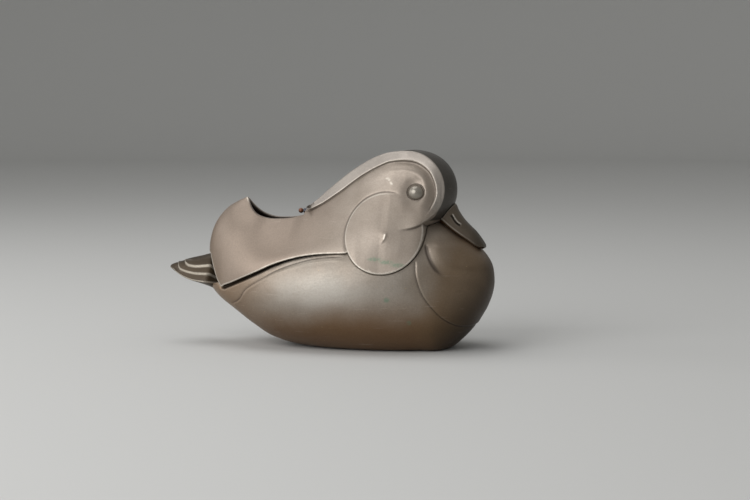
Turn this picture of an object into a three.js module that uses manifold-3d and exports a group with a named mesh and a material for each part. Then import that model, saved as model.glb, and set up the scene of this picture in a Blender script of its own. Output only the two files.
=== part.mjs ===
// A cast bronze incense burner in the form of a resting mandarin duck.
// The duck looks along +X and +Z is up. The origin lies on the table, below the middle of its length.
// The bowl is the lower casting, with the breast and a separately cast tail. The lid is the upper casting,
// with the wing feathers, the neck and the head. It lifts straight up off a collar inside the bowl's mouth.
// Incense burns in a copper liner in the bowl, and the smoke leaves by the open saddle of the duck's back.
import * as THREE from "three";
import { mergeVertices } from "three/addons/utils/BufferGeometryUtils.js";
import Module from "manifold-3d";

const wasm = await Module();
wasm.setup();

// Driving dimensions, in millimetres.

// Hull: where it ends, where it is widest, and its half width there.
const noseX = 104;
const hullSternX = -76;
const beamX = 20;
const halfBeam = 46;

// Castings and their fits.
const bowlWall = 4.2;
const lidWall = 3;
const lidOverhang = 1.5;
const seatGap = 0.3;
const sideGap = 0.6;
const collarHeight = 3;
const floorTop = 5;

// Head, a thick disc seen from the side. The brow is its middle, which stands forward of its two faces.
const head = { x: 52.4, z: 98.6, radius: 23.2, halfWidth: 30 };
const brow = { forward: 4.3, down: 1, grown: 0.7 };
const face = { x: 51.6, z: 97.6, radius: 18.6, depth: 1.2 };

// Cheek, a low cone that hangs over the bowl.
const cheek = { x: 41.5, z: 72, radius: 24.3, rim: 1.1, apex: 2.6, thickness: 3 };

// The stretches of the cheek's circle that edge the lid, and of the head's that roof its hollow, in degrees.
// The cheek's lower edge is drawn through places on its circle.
const cheekArc = { from: 208, to: 367 };
const cheekEdgeAngles = [240, 270, 300, 315, 335, 360];
const headArc = { from: 85, to: -40 };

// Eyes, each a ball with a thin ring around it.
const eye = { x: 59.7, z: 97.5, radius: 4.6, sunk: 2.2 };
const bezel = { inside: 4.9, outside: 5.9, thickness: 1.6, sunk: 0.9 };

// Bead that ends the crest, and the collar that holds it.
const bead = { x: -17.7, z: 83.8, radius: 1.6 };
const collar = { radius: 1.5, length: 1.8, stemLength: 3.8, stemRadius: 0.8 };

// Bill and tail, and the pins that hold their roots.
const bill = { halfWidth: 9.5, tenonPastPin: 3, tenonHalfWidth: 5, tenonHalfHeight: 2.5, rise: -38 };
const tail = { halfWidth: 17, step: 0.8, rootX: -63 };
const pin = { radius: 1.1, headRadius: 2, headHeight: 1 };
const tailPin = { x: -68, low: 30.6, seat: 43 };
const billPin = { halfLength: 8, backFromWall: 0.8 };

// Copper liner, and the plate that closes the bowl's core hole.
const liner = { x: 6, halfLength: 38, height: 32, wall: 1.2, lip: 1.6, floorShare: 0.62, clearance: 2.5 };
const plate = { x: 30, halfLength: 27, halfWidth: 14, thickness: 1.6, recess: 0.5, ledge: 2.5 };
const fitGap = 0.3;

// Side view lines, as [x, z], that the lid and the bowl share.
const wingEdge = [
  [-61, 38.2], [-55.8, 40.4], [-37.7, 48.1], [-26.4, 53.1], [-12.4, 57.4], [1.5, 59.7], [19.4, 60.7],
];
const mouthBack = [-90, 30];
const mouthFront = [[34, 62], [48, 65], [57, 69], [61, 86]];
const sternLine = [
  [-77, 55.8], [-76.7, 63.5], [-74.6, 72], [-70.9, 79.1], [-65, 85.5], [-59.2, 89.1], [-52.3, 92.3],
];
const saddleLine = [
  [-51.6, 91], [-48.3, 85.6], [-43.6, 81.6], [-36.3, 79.4], [-27.7, 79.3], [-20.6, 80.1], [-13.5, 82],
];
const crestLine = [
  [-14, 85], [-10.8, 87.8], [-5.7, 91.9], [-0.6, 96.4], [7, 102.6], [14.6, 108.4], [22.2, 113.3],
  [29.8, 117.4], [39.3, 120.7], [49, 121.7],
];
const archLine = [[-60.6, 38.7], [-63.6, 37.5], [-67.9, 42.8], [-71.7, 50.4], [-74.2, 56.5]];

// Bill: its ridge and its lower edge in side view, from the root to the tip, and its share of full width.
const billRidge = [
  [74, 95], [79.7, 89.6], [82.1, 84.9], [85.3, 80.2], [88.9, 76.4], [92.9, 72.5], [96.4, 67.9], [98.5, 64.4],
];
const billEdge = [
  [64, 80], [70.3, 76.6], [74.5, 73.8], [78.2, 71.2], [82.5, 68.7], [87.5, 65.9], [92.2, 63], [96.4, 61.8],
];
const billWidth = [1.02, 1, 0.95, 0.91, 0.89, 0.86, 0.72, 0.42];
const billTip = [98.7, 62.6];

// Tail: its share of full width, and the heights of its ridge, rim and underside, all along x.
const tailWidth = [
  [-103.6, 0.14], [-101.5, 0.38], [-98, 0.6], [-92, 0.8], [-85, 0.94], [-77, 1], [-70, 0.72], [-63, 0.45],
];
const tailRidge = [
  [-104, 47.8], [-102.5, 49], [-95.6, 51.2], [-89.5, 53.2], [-82.3, 54.9], [-78.3, 56], [-75.2, 56.5],
  [-71, 49.5], [-63, 43],
];
const tailRim = [
  [-104, 47.4], [-98.9, 46.3], [-96.4, 44.7], [-91.1, 42.1], [-84, 40], [-75.1, 39], [-63, 37.5],
];
const tailUnder = [
  [-104, 47.2], [-98, 43.8], [-90, 40], [-82, 37.8], [-76, 36], [-72, 34.2], [-68, 33.3], [-63, 33.3],
];

// A smooth function through a few points, which never overshoots them.
function through(points) {
  const last = points.length - 1;
  const rise = (i) => (points[i + 1][1] - points[i][1]) / (points[i + 1][0] - points[i][0]);
  const slopes = points.map((_, i) => {
    if (i === 0) return rise(0);
    if (i === last) return rise(last - 1);
    const before = rise(i - 1);
    const after = rise(i);
    return before * after > 0 ? (2 * before * after) / (before + after) : 0;
  });
  return (x) => {
    if (x <= points[0][0]) return points[0][1];
    if (x >= points[last][0]) return points[last][1];
    const i = points.findIndex((p) => p[0] > x) - 1;
    const span = points[i + 1][0] - points[i][0];
    const t = (x - points[i][0]) / span;
    const smooth = t * t * (3 - 2 * t);
    const leaving = t * (1 - t) * (1 - t) * span * slopes[i];
    const arriving = t * t * (1 - t) * span * slopes[i + 1];
    return points[i][1] * (1 - smooth) + points[i + 1][1] * smooth + leaving - arriving;
  };
}

const vector = (p) => new THREE.Vector2(p[0], p[1]);
const spline = (points, steps) => new THREE.SplineCurve(points.map(vector)).getPoints(steps);
const shifted = (points, x, z) => points.map((p) => new THREE.Vector2(p.x + x, p.y + z));

function arc(centre, radius, fromDegrees, toDegrees, steps) {
  return Array.from({ length: steps + 1 }, (_, i) => {
    const a = THREE.MathUtils.degToRad(fromDegrees + ((toDegrees - fromDegrees) * i) / steps);
    return new THREE.Vector2(centre.x + radius * Math.cos(a), centre.z + radius * Math.sin(a));
  });
}

const circle = (centre, radius, steps) => arc(centre, radius, 0, 360 - 360 / steps, steps - 1);

// A geometry made into a solid that can be joined and cut, and a solid made back into a geometry.
function solid(geometry) {
  const bare = geometry.clone();
  bare.deleteAttribute("normal");
  bare.deleteAttribute("uv");
  const merged = mergeVertices(bare, 1e-4);
  return new wasm.Manifold(
    new wasm.Mesh({
      numProp: 3,
      vertProperties: new Float32Array(merged.attributes.position.array),
      triVerts: new Uint32Array(merged.index.array),
    }),
  );
}

function geometryOf(made) {
  const mesh = made.getMesh();
  const geometry = new THREE.BufferGeometry();
  geometry.setAttribute("position", new THREE.Float32BufferAttribute(mesh.vertProperties, 3));
  geometry.setIndex([...mesh.triVerts]);
  return geometry;
}

// A solid from closed rings of points, drawn together to one point at each end.
function loft(rings, first, last) {
  const count = rings[0].length;
  const at = (i, j) => 1 + i * count + (j % count);
  const end = 1 + rings.length * count;
  const faces = [];
  for (let j = 0; j < count; j++) {
    faces.push(0, at(0, j + 1), at(0, j));
    faces.push(end, at(rings.length - 1, j), at(rings.length - 1, j + 1));
    for (let i = 0; i < rings.length - 1; i++) {
      faces.push(at(i, j), at(i, j + 1), at(i + 1, j + 1));
      faces.push(at(i, j), at(i + 1, j + 1), at(i + 1, j));
    }
  }
  const geometry = new THREE.BufferGeometry();
  const places = [first, ...rings.flat(), last].flatMap((p) => p.toArray());
  geometry.setAttribute("position", new THREE.Float32BufferAttribute(places, 3));
  geometry.setIndex(faces);
  return solid(geometry);
}

// An outline drawn in x and z, as a prism across the duck.
const farAway = 2 * noseX;

function acrossDuck(outline) {
  const shape = new THREE.Shape(outline);
  const geometry = new THREE.ExtrudeGeometry(shape, { depth: 2 * farAway, bevelEnabled: false });
  geometry.rotateX(Math.PI / 2);
  geometry.translate(0, farAway, 0);
  return solid(geometry);
}

const below = (z) =>
  acrossDuck([[-farAway, -farAway], [farAway, -farAway], [farAway, z], [-farAway, z]].map(vector));

// An upright oval, from a profile of [share of its half length, height] that starts and ends on the axis.
function uprightOval(oval, profile) {
  const segments = 40;
  const geometry = new THREE.LatheGeometry(profile.map(vector), segments);
  geometry.rotateX(Math.PI / 2);
  geometry.scale(oval.halfLength, oval.halfWidth, 1);
  geometry.translate(oval.x, 0, 0);
  return solid(geometry);
}

// Grown widens an oval all round.
const widened = (oval, grown) => ({
  x: oval.x,
  halfLength: oval.halfLength + grown,
  halfWidth: oval.halfWidth + grown,
});
const ovalSlab = (oval, low, high) => uprightOval(oval, [[0, low], [1, low], [1, high], [0, high]]);

// A turned form whose axis starts at a place and runs along a direction.
function turned(profile, segments, place, direction) {
  const geometry = new THREE.LatheGeometry(profile.map(vector), segments);
  const turn = new THREE.Quaternion().setFromUnitVectors(new THREE.Vector3(0, 1, 0), direction);
  geometry.applyQuaternion(turn);
  geometry.translate(place.x, place.y, place.z);
  return solid(geometry);
}

function ball(place, radius, across, up) {
  const geometry = new THREE.SphereGeometry(radius, across, up);
  geometry.translate(place.x, place.y, place.z);
  return solid(geometry);
}

// Hull: two half ellipses in plan, with a widest height and a rounding above and below it.
const lowerRounding = 2.1;
const upperRounding = 2.3;
const hullCentre = through([
  [-76, 38], [-60, 36.6], [-40, 35], [-20, 33.5], [20, 33], [60, 36], [83, 39.7], [104, 42],
]);
const hullRise = through([
  [-76, 20], [-60, 31.5], [-40, 36], [-20, 38], [20, 43], [60, 52], [71, 51], [83, 46], [104, 44],
]);
const hullDepth = through([
  [-76, 14], [-67, 22.5], [-59, 25.5], [-45, 32], [-33, 35.6], [-8, 36], [20, 37.2], [60, 45.5], [73, 53.5],
  [86, 53], [99, 50], [104, 46],
]);

function hullSection(x, grown) {
  const reach = (x > beamX ? noseX - beamX : beamX - hullSternX) + grown;
  const fullness = Math.sqrt(Math.max(0, 1 - ((x - beamX) / reach) ** 2));
  return {
    half: (halfBeam + grown) * fullness,
    centre: hullCentre(x),
    above: (hullRise(x) + grown) * fullness,
    below: (hullDepth(x) + grown) * fullness,
  };
}

function hullHalfWidth(x, z, grown = 0) {
  const s = hullSection(x, grown);
  const t = THREE.MathUtils.clamp((z - s.centre) / Math.max(s.above, seatGap), 0, 1);
  return s.half * (1 - t ** upperRounding) ** (1 / upperRounding);
}

function hullSolid(grown, stations, around) {
  const rings = Array.from({ length: stations - 1 }, (_, i) => {
    const a = Math.PI * ((i + 1) / stations - 0.5);
    const reach = (a > 0 ? noseX - beamX : beamX - hullSternX) + grown;
    const x = beamX + reach * Math.sin(a);
    const s = hullSection(x, grown);
    return Array.from({ length: around }, (_, j) => {
      const t = (2 * Math.PI * j) / around;
      const power = 2 / (Math.sin(t) > 0 ? upperRounding : lowerRounding);
      const y = s.half * Math.sign(Math.cos(t)) * Math.abs(Math.cos(t)) ** power;
      const z = s.centre + (Math.sin(t) > 0 ? s.above : -s.below) * Math.abs(Math.sin(t)) ** power;
      return new THREE.Vector3(x, y, z);
    });
  });
  const first = new THREE.Vector3(hullSternX - grown, 0, hullCentre(hullSternX));
  const last = new THREE.Vector3(noseX + grown, 0, hullCentre(noseX));
  return loft(rings, first, last);
}

// Lid sections: from the lower edge up the panel to the crest's band, and over the band to the crown.
const cheekEdge = cheekEdgeAngles.map((angle) => arc(cheek, cheek.radius, angle, angle, 1)[0].toArray());
const lowerEdge = through([...wingEdge, ...cheekEdge]);
const panelTop = through([
  [-77.5, 60], [-75, 70], [-70.9, 78], [-65, 84], [-59.2, 87.6], [-52.3, 91], [-44, 83], [-36.3, 79.4],
  [-20.6, 80.1], [-12.1, 84], [-5, 87.4], [-0.5, 89.9], [9.5, 96.6], [23.6, 106.6], [37.8, 113.9],
  [52, 116],
]);
const panelTopHalf = through([
  [-78, 0.5], [-58, 0.8], [-50, 2.5], [-44, 8.5], [-36, 12.5], [-20, 14], [-11, 10], [4, 8.5], [24, 11.5],
  [44, 14.5],
]);
const panelBow = through([[-78, 3.2], [-62, 2.2], [-45, 1.5], [-25, 1.15], [-8, 1.5], [15, 1.15], [40, 1]]);
const bandTop = through([[-77.5, 61], ...sternLine.slice(2), [-36, 93], [-20, 88], ...crestLine]);
const bandTopHalf = through([[-14, 0.3], [8, 3], [30, 6], [44, 9.5], [52, 12]]);

// The least half width of a section, so that its two sides never meet.
const thinnest = 0.1;

function lidHalfWidth(x, z, inset = 0) {
  const edge = lowerEdge(x);
  const low = hullHalfWidth(Math.max(x, hullSternX), edge) + lidOverhang;
  const top = panelTopHalf(x);
  const t = THREE.MathUtils.clamp((z - edge) / (panelTop(x) - edge), 0, 1);
  return Math.max(thinnest, top + (low - top) * (1 - t ** panelBow(x)) - inset);
}

// The lid as a solid from its sections, or its hollow when it is inset by the wall. It reaches a little
// past its lower edge, and is cut to its outline afterwards. Sections crowd towards the stern, and their
// points towards the crown.
const clear = 2;
const sternSlack = 0.2;
const sternCrowding = 1.2;
const crownCrowding = 1.4;
const crownShare = 0.98;

function lidForm(inset, stations, rows) {
  const firstX = sternLine[0][0] - sternSlack + inset;
  const lastX = head.x + head.radius + brow.forward + head.radius / 2 - inset;
  const rings = Array.from({ length: stations - 1 }, (_, i) => {
    const share = (i + 1) / stations;
    const x = firstX + (lastX - firstX) * share ** sternCrowding;
    const edge = lowerEdge(x) - clear;
    const top = panelTop(x) - inset;
    const crown = Math.max(bandTop(x) - inset, top + thinnest);
    const side = [new THREE.Vector3(x, lidHalfWidth(x, edge, inset), floorTop)];
    for (let j = 0; j <= rows; j++) {
      const z = edge + (top - edge) * (1 - (1 - j / rows) ** crownCrowding);
      side.push(new THREE.Vector3(x, lidHalfWidth(x, z, inset), z));
    }
    const topHalf = Math.min(bandTopHalf(x), side.at(-1).y * crownShare);
    side.push(new THREE.Vector3(x, Math.max(thinnest / 2, topHalf), crown));
    const other = side.map((p) => new THREE.Vector3(p.x, -p.y, p.z)).reverse();
    return [...side, ...other];
  });
  const tip = (x) => new THREE.Vector3(x, 0, (floorTop + panelTop(x)) / 2);
  return loft(rings, tip(firstX), tip(lastX));
}

// The head's brow, a barrel across the duck. Its middle stands forward of its sides.
function headBarrel(inset) {
  const steps = 40;
  const rings = [1, 0.65, 0.3, -0.3, -0.65, -1].map((share) => {
    const middle = 1 - share * share;
    const centre = { x: head.x + brow.forward * middle, z: head.z - brow.down * middle };
    const radius = head.radius + brow.grown * middle - inset;
    const y = share * (head.halfWidth - inset);
    return circle(centre, radius, steps).map((p) => new THREE.Vector3(p.x, y, p.y));
  });
  const end = (side) => new THREE.Vector3(head.x, side * (head.halfWidth - inset), head.z);
  return loft(rings, end(1), end(-1));
}

// The lid's outline from the side, without the brow. Grown widens it all round for a clearance.
// Along the stern and the crest it stands clear of the sections, which shape the lid there by themselves.
function lidOutline(grown) {
  return acrossDuck([
    ...shifted(spline(wingEdge.slice(1), 18), 0, -grown),
    ...arc(cheek, cheek.radius + grown, cheekArc.from, cheekArc.to, 18),
    new THREE.Vector2(head.x + head.radius / 2 + grown, cheek.z + head.radius / 3 - grown),
    new THREE.Vector2(head.x, head.z + head.radius + grown),
    ...shifted(spline(crestLine, 20), 0, grown + clear).reverse(),
    ...shifted(spline(saddleLine, 16), 0, grown).reverse(),
    ...shifted(spline(sternLine, 12), -clear, clear).reverse(),
    ...shifted(spline(archLine, 10), -grown, -grown).reverse(),
  ]);
}

// A place on the duck's side, with its half width and the direction that is square to the side there.
function sideAt(x, z) {
  const alongX = (lidHalfWidth(x + 1, z) - lidHalfWidth(x - 1, z)) / 2;
  const alongZ = (lidHalfWidth(x, z + 1) - lidHalfWidth(x, z - 1)) / 2;
  return { x, z, y: lidHalfWidth(x, z), outward: new THREE.Vector3(-alongX, 1, -alongZ).normalize() };
}

// A turned form on one side of the duck, its profile's heights counted outward from the side's surface.
function onSide(profile, segments, place, side) {
  const mirrored = new THREE.Vector3(1, side, 1);
  const foot = new THREE.Vector3(place.x, place.y, place.z).multiply(mirrored);
  return turned(profile, segments, foot, place.outward.clone().multiply(mirrored));
}

// One cheek, which keeps the slope of the duck's side and swells to a low cone.
function cheekSolid(side, grown) {
  const shares = [1, 0.75, 0.4];
  const steps = 40;
  const base = (x, z) => lidHalfWidth(x, Math.max(z, lowerEdge(x) - 1));
  const swell = (share) => cheek.rim + grown + cheek.apex * (1 - share) ** 1.2;
  const ringAt = (share, lift) => {
    const points = circle(cheek, (cheek.radius + grown) * share, steps);
    const placed = points.map((p) => new THREE.Vector3(p.x, side * (base(p.x, p.y) + lift), p.y));
    return side < 0 ? placed : placed.reverse();
  };
  const back = [...shares].reverse().map((share) => ringAt(share, -cheek.thickness));
  const front = shares.map((share) => ringAt(share, swell(share)));
  const middle = (lift) => new THREE.Vector3(cheek.x, side * (base(cheek.x, cheek.z) + lift), cheek.z);
  return loft([...back, ...front], middle(-cheek.thickness), middle(swell(0)));
}

// Lid: the shaped outside with both cheeks, and the hollow that goes up inside the stern, neck and head.
function lidOutside(grown) {
  const outline = lidOutline(grown).add(headBarrel(-grown));
  return lidForm(-grown, 36, 6).intersect(outline).add(cheekSolid(1, grown)).add(cheekSolid(-1, grown));
}

function lidHollow(inset) {
  const headFloor = cheek.z + head.radius / 3;
  const outline = acrossDuck([
    ...shifted(spline(sternLine, 14), inset, -inset / 3),
    new THREE.Vector2(sternLine.at(-1)[0] + inset, head.z),
    new THREE.Vector2(saddleLine.at(-1)[0], head.z),
    ...shifted(spline(crestLine, 16), inset / 2, -inset),
    ...arc(head, head.radius - inset, headArc.from, headArc.to, 16),
    new THREE.Vector2(mouthFront[2][0], headFloor + inset),
    new THREE.Vector2(mouthFront[2][0], floorTop),
    new THREE.Vector2(sternLine[0][0] + inset, floorTop),
  ]);
  return lidForm(inset, 20, 4).intersect(outline);
}

// Everything below the bowl's mouth, raised by a height.
function belowMouth(raised) {
  const line = shifted(spline([mouthBack, ...wingEdge, ...mouthFront], 60), 0, raised);
  return acrossDuck([
    new THREE.Vector2(-farAway, -farAway),
    new THREE.Vector2(farAway, -farAway),
    new THREE.Vector2(farAway, farAway),
    new THREE.Vector2(mouthFront.at(-1)[0], farAway),
    ...line.reverse(),
    new THREE.Vector2(-farAway, mouthBack[1] + raised),
  ]);
}

// Tail: sections across it, each a roof in three terraces. Its root lies in a notch in the bowl's stern.
// Places across a section are [share of its half width, share of the roof's height down from the ridge].
const tailTerraces = [[0.48, 0.47], [0.68, 0.72], [0.84, 0.87]];
const tailRidgeBreak = [0.25, 0.14];
const tailKeelShares = [0.9, 0.5];
const tailTipCrowding = 1.3;
const flattestStep = 1 / 12;

function tailSolid(grown) {
  const width = through(tailWidth);
  const ridge = through(tailRidge);
  const rim = through(tailRim);
  const under = through(tailUnder);
  const stations = 18;
  const firstX = tailWidth[0][0] - grown;
  const lastX = tail.rootX + grown;
  const rings = Array.from({ length: stations + 1 }, (_, i) => {
    const x = firstX + (lastX - firstX) * (i / stations) ** tailTipCrowding;
    const half = tail.halfWidth * width(x) + grown;
    const top = ridge(x) + grown;
    const height = top - rim(x);
    const step = Math.min(tail.step, height * flattestStep);
    const roof = tailTerraces.flatMap(([out, down]) => [
      [half * out, top - height * down + step / 2],
      [half * out + step / 4, top - height * down - step / 2],
    ]);
    const low = under(x) - grown;
    const keel = [[half * tailKeelShares[0], (rim(x) + low) / 2], [half * tailKeelShares[1], low]];
    const shoulder = [half * tailRidgeBreak[0], top - height * tailRidgeBreak[1]];
    const side = [shoulder, ...roof, [half, rim(x)], ...keel];
    const point = (y, z) => new THREE.Vector3(x, y, z);
    const near = side.map((p) => point(-p[0], p[1]));
    const far = side.map((p) => point(p[0], p[1])).reverse();
    return [point(0, top), ...near, point(0, low), ...far];
  });
  const tip = new THREE.Vector3(-noseX - grown, 0, (ridge(firstX) + under(firstX)) / 2);
  const root = new THREE.Vector3(lastX, 0, (ridge(lastX) + under(lastX)) / 2);
  return loft(rings, tip, root);
}

// Bill: sections between its ridge and its lower edge, widest near the edge.
function billSolid() {
  const steps = 20;
  const widest = 0.3;
  const rings = billRidge.map((ridgeAt, i) => {
    const edgeAt = billEdge[i];
    const half = bill.halfWidth * billWidth[i];
    return Array.from({ length: steps }, (_, j) => {
      const t = (2 * Math.PI * j) / steps;
      const up = Math.sin(t);
      const share = up > 0 ? widest + (1 - widest) * up : widest * (1 + up);
      const x = edgeAt[0] + (ridgeAt[0] - edgeAt[0]) * share;
      const z = edgeAt[1] + (ridgeAt[1] - edgeAt[1]) * share;
      return new THREE.Vector3(x, half * Math.cos(t), z);
    });
  });
  const rootFlat = vector(billRidge[0]).lerp(vector(billEdge[0]), 1 / 2);
  const root = new THREE.Vector3(rootFlat.x, 0, rootFlat.y);
  return loft(rings, root, new THREE.Vector3(billTip[0], 0, billTip[1]));
}

// The bill's tenon runs back through the head's wall, along the line from the bill to the head's middle.
const billAxis = new THREE.Vector3(1, 0, 0).applyAxisAngle(
  new THREE.Vector3(0, 1, 0),
  THREE.MathUtils.degToRad(-bill.rise),
);
const billFoot = new THREE.Vector3(head.x + brow.forward, 0, head.z - brow.down).addScaledVector(
  billAxis,
  head.radius + brow.grown,
);

const billPinBack = lidWall + brow.forward + brow.grown + pin.radius + billPin.backFromWall;

function billTenon(grown) {
  const back = billPinBack + bill.tenonPastPin;
  const length = back + head.radius / 4;
  const height = 2 * (bill.tenonHalfHeight + grown);
  const geometry = new THREE.BoxGeometry(length + 2 * grown, 2 * (bill.tenonHalfWidth + grown), height);
  geometry.translate(length / 2 - back, 0, 0);
  geometry.rotateY(THREE.MathUtils.degToRad(-bill.rise));
  geometry.translate(billFoot.x, billFoot.y, billFoot.z);
  return solid(geometry);
}

function billPinSolid(grown) {
  const middle = billFoot.clone().addScaledVector(billAxis, -billPinBack);
  middle.y = -billPin.halfLength;
  const radius = pin.radius + grown;
  const profile = [[0, 0], [radius, 0], [radius, 2 * billPin.halfLength], [0, 2 * billPin.halfLength]];
  return turned(profile, 12, middle, new THREE.Vector3(0, 1, 0));
}

function tailPinSolid(grown) {
  const foot = new THREE.Vector3(tailPin.x, 0, tailPin.low - grown);
  const height = tailPin.seat - foot.z + (grown > 0 ? 0 : seatGap);
  const radius = pin.radius + grown;
  const shank = [[0, 0], [radius, 0], [radius, height]];
  const top = height + pin.headHeight;
  const cap = [[pin.headRadius, height], [pin.headRadius * 0.7, top], [0, top]];
  const wide = pin.headRadius + grown;
  const spotFace = [[wide, height], [wide, height + tail.halfWidth], [0, height + tail.halfWidth]];
  return turned([...shank, ...(grown > 0 ? spotFace : cap)], 12, foot, new THREE.Vector3(0, 0, 1));
}

// Crest end: the collar's stem is let into the lid, and its cup holds the bead.
const beadAxis = new THREE.Vector3(-1, 0, 0);

function collarSolid(grown) {
  const stem = collar.stemRadius + grown;
  const cup = collar.radius + grown;
  const top = collar.stemLength + collar.length + grown;
  const profile = [
    [0, -grown], [stem, -grown], [stem, collar.stemLength], [cup, collar.stemLength], [cup, top], [0, top],
  ];
  const back = bead.radius + collar.length + collar.stemLength;
  return turned(profile, 16, new THREE.Vector3(bead.x + back, 0, bead.z), beadAxis);
}

// Liner: an oval cup with a turned-out lip, which stands on the bowl's floor. It is as wide as its lip can
// be to clear the mouth's collar all along when the liner is lifted out.
const mouthEdge = through([...wingEdge, ...mouthFront]);
const lipShare = 1 + liner.lip / liner.halfLength;

function linerHalfWidth() {
  const steps = 20;
  const widths = Array.from({ length: steps - 1 }, (_, i) => {
    const along = (2 * (i + 1)) / steps - 1;
    const x = liner.x + liner.halfLength * lipShare * along;
    const room = hullHalfWidth(x, mouthEdge(x) + collarHeight, -bowlWall) - liner.clearance;
    return room / (lipShare * Math.sqrt(1 - along * along));
  });
  return Math.min(...widths);
}

function linerSolid() {
  const oval = { ...liner, halfWidth: linerHalfWidth() };
  const foot = floorTop + seatGap;
  const top = foot + liner.height;
  const wallShare = liner.wall / oval.halfWidth;
  const bends = [[liner.floorShare, 0], [0.86, 0.12], [0.96, 0.36], [1, 0.9]];
  const innerFoot = foot + liner.wall;
  const outside = bends.map(([share, up]) => [share, foot + liner.height * up]);
  const inside = bends.map(([share, up]) => [share - wallShare, innerFoot + (top - innerFoot) * up]);
  inside.at(-1)[1] = top;
  const lip = [[lipShare, top - liner.wall], [lipShare, top]];
  return uprightOval(oval, [[0, foot], ...outside, ...lip, ...inside.reverse(), [0, innerFoot]]);
}

// Castings, worked out together because each is cut for its neighbours.
const largest = (made) => made.decompose().reduce((a, b) => (a.volume() > b.volume() ? a : b));
const lidSpace = lidOutside(seatGap).subtract(lidHollow(lidWall + sideGap));
const eyePlace = sideAt(eye.x, eye.z);
const sides = [["right", -1], ["left", 1]];

function faceDish(side) {
  const low = -face.depth;
  const high = head.radius;
  const profile = [[0, low], [face.radius, low], [face.radius, high], [0, high]];
  return onSide(profile, 36, sideAt(face.x, face.z), side);
}

function eyeCentre(side) {
  const outward = eyePlace.outward.clone().multiply(new THREE.Vector3(1, side, 1));
  const surface = new THREE.Vector3(eyePlace.x, side * eyePlace.y, eyePlace.z);
  return surface.addScaledVector(outward, -face.depth - eye.sunk);
}

function bezelSolid(side, grown) {
  const low = -face.depth - bezel.sunk - grown;
  const high = low + bezel.thickness + 2 * grown;
  const inside = Math.max(0, bezel.inside - grown);
  const outside = bezel.outside + grown;
  const profile = [[inside, low], [outside, low], [outside, high], [inside, high], [inside, low]];
  return onSide(profile, 24, eyePlace, side);
}

function lidSolid() {
  let made = lidOutside(0).subtract(lidHollow(lidWall));
  for (const [, side] of sides) {
    made = made.subtract(faceDish(side).subtract(cheekSolid(side, 0)));
    made = made.subtract(ball(eyeCentre(side), eye.radius + fitGap, 16, 10));
    made = made.subtract(bezelSolid(side, fitGap));
  }
  return largest(made.subtract(billTenon(fitGap)).subtract(collarSolid(fitGap)));
}

function bowlSolid() {
  const shell = hullSolid(0, 34, 36).intersect(belowMouth(collarHeight));
  const hollow = hullSolid(-bowlWall, 18, 24).subtract(below(floorTop));
  const rebate = ovalSlab(widened(plate, fitGap), -clear, plate.recess + plate.thickness + seatGap);
  const coreHole = ovalSlab(widened(plate, -plate.ledge), -clear, floorTop + clear);
  const cut = shell.subtract(hollow).subtract(below(0)).subtract(lidSpace).subtract(tailSolid(fitGap));
  return largest(cut.subtract(rebate).subtract(coreHole).subtract(tailPinSolid(fitGap)));
}

// Finishes.
const finish = (colour, roughness) =>
  new THREE.MeshStandardMaterial({ color: colour, roughness, metalness: 0.9 });
const lidBronze = finish(0x9a8678, 0.42);
const bowlBronze = finish(0x7d6650, 0.4);
const billBronze = finish(0x5f5248, 0.38);
const eyeBronze = finish(0x6b655c, 0.25);
const beadCopper = finish(0x8a5a44, 0.45);
const collarIron = finish(0x4a4c55, 0.4);
const linerCopper = finish(0x9c6244, 0.45);

const duck = new THREE.Group();

function place(name, made, material) {
  const mesh = new THREE.Mesh(geometryOf(made), material);
  mesh.name = name;
  duck.add(mesh);
}

place("body_vessel", bowlSolid(), bowlBronze);
place("base_plate", ovalSlab(plate, plate.recess, plate.recess + plate.thickness), bowlBronze);
place("tail_fan", largest(tailSolid(0).subtract(lidSpace).subtract(tailPinSolid(fitGap))), bowlBronze);
place("tail_pin", tailPinSolid(0), bowlBronze);
place("ash_liner", linerSolid(), linerCopper);
place("lid_shell", lidSolid(), lidBronze);
const billBody = billSolid().subtract(lidSpace).subtract(hullSolid(seatGap, 34, 36));
place("bill", largest(billBody.add(billTenon(0)).subtract(billPinSolid(fitGap))), billBronze);
place("bill_pin", billPinSolid(0), billBronze);
for (const [name, side] of sides) {
  place(`eye_${name}`, ball(eyeCentre(side), eye.radius, 18, 12), eyeBronze);
  place(`eye_ring_${name}`, bezelSolid(side, 0), lidBronze);
}
place("crest_collar", collarSolid(0), collarIron);
place("crest_bead", ball({ x: bead.x - seatGap, y: 0, z: bead.z }, bead.radius, 12, 8), beadCopper);

export default duck;
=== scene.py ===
# A resting mandarin duck in cast bronze, an incense burner whose lid lifts off. Blender dresses the packed
# frame: each casting is worked out as a field of distances from its surface, so that its cuts are rounded
# as cast metal is, and is then turned into a mesh. Shapes are in millimetres until they become meshes.
import math

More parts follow.
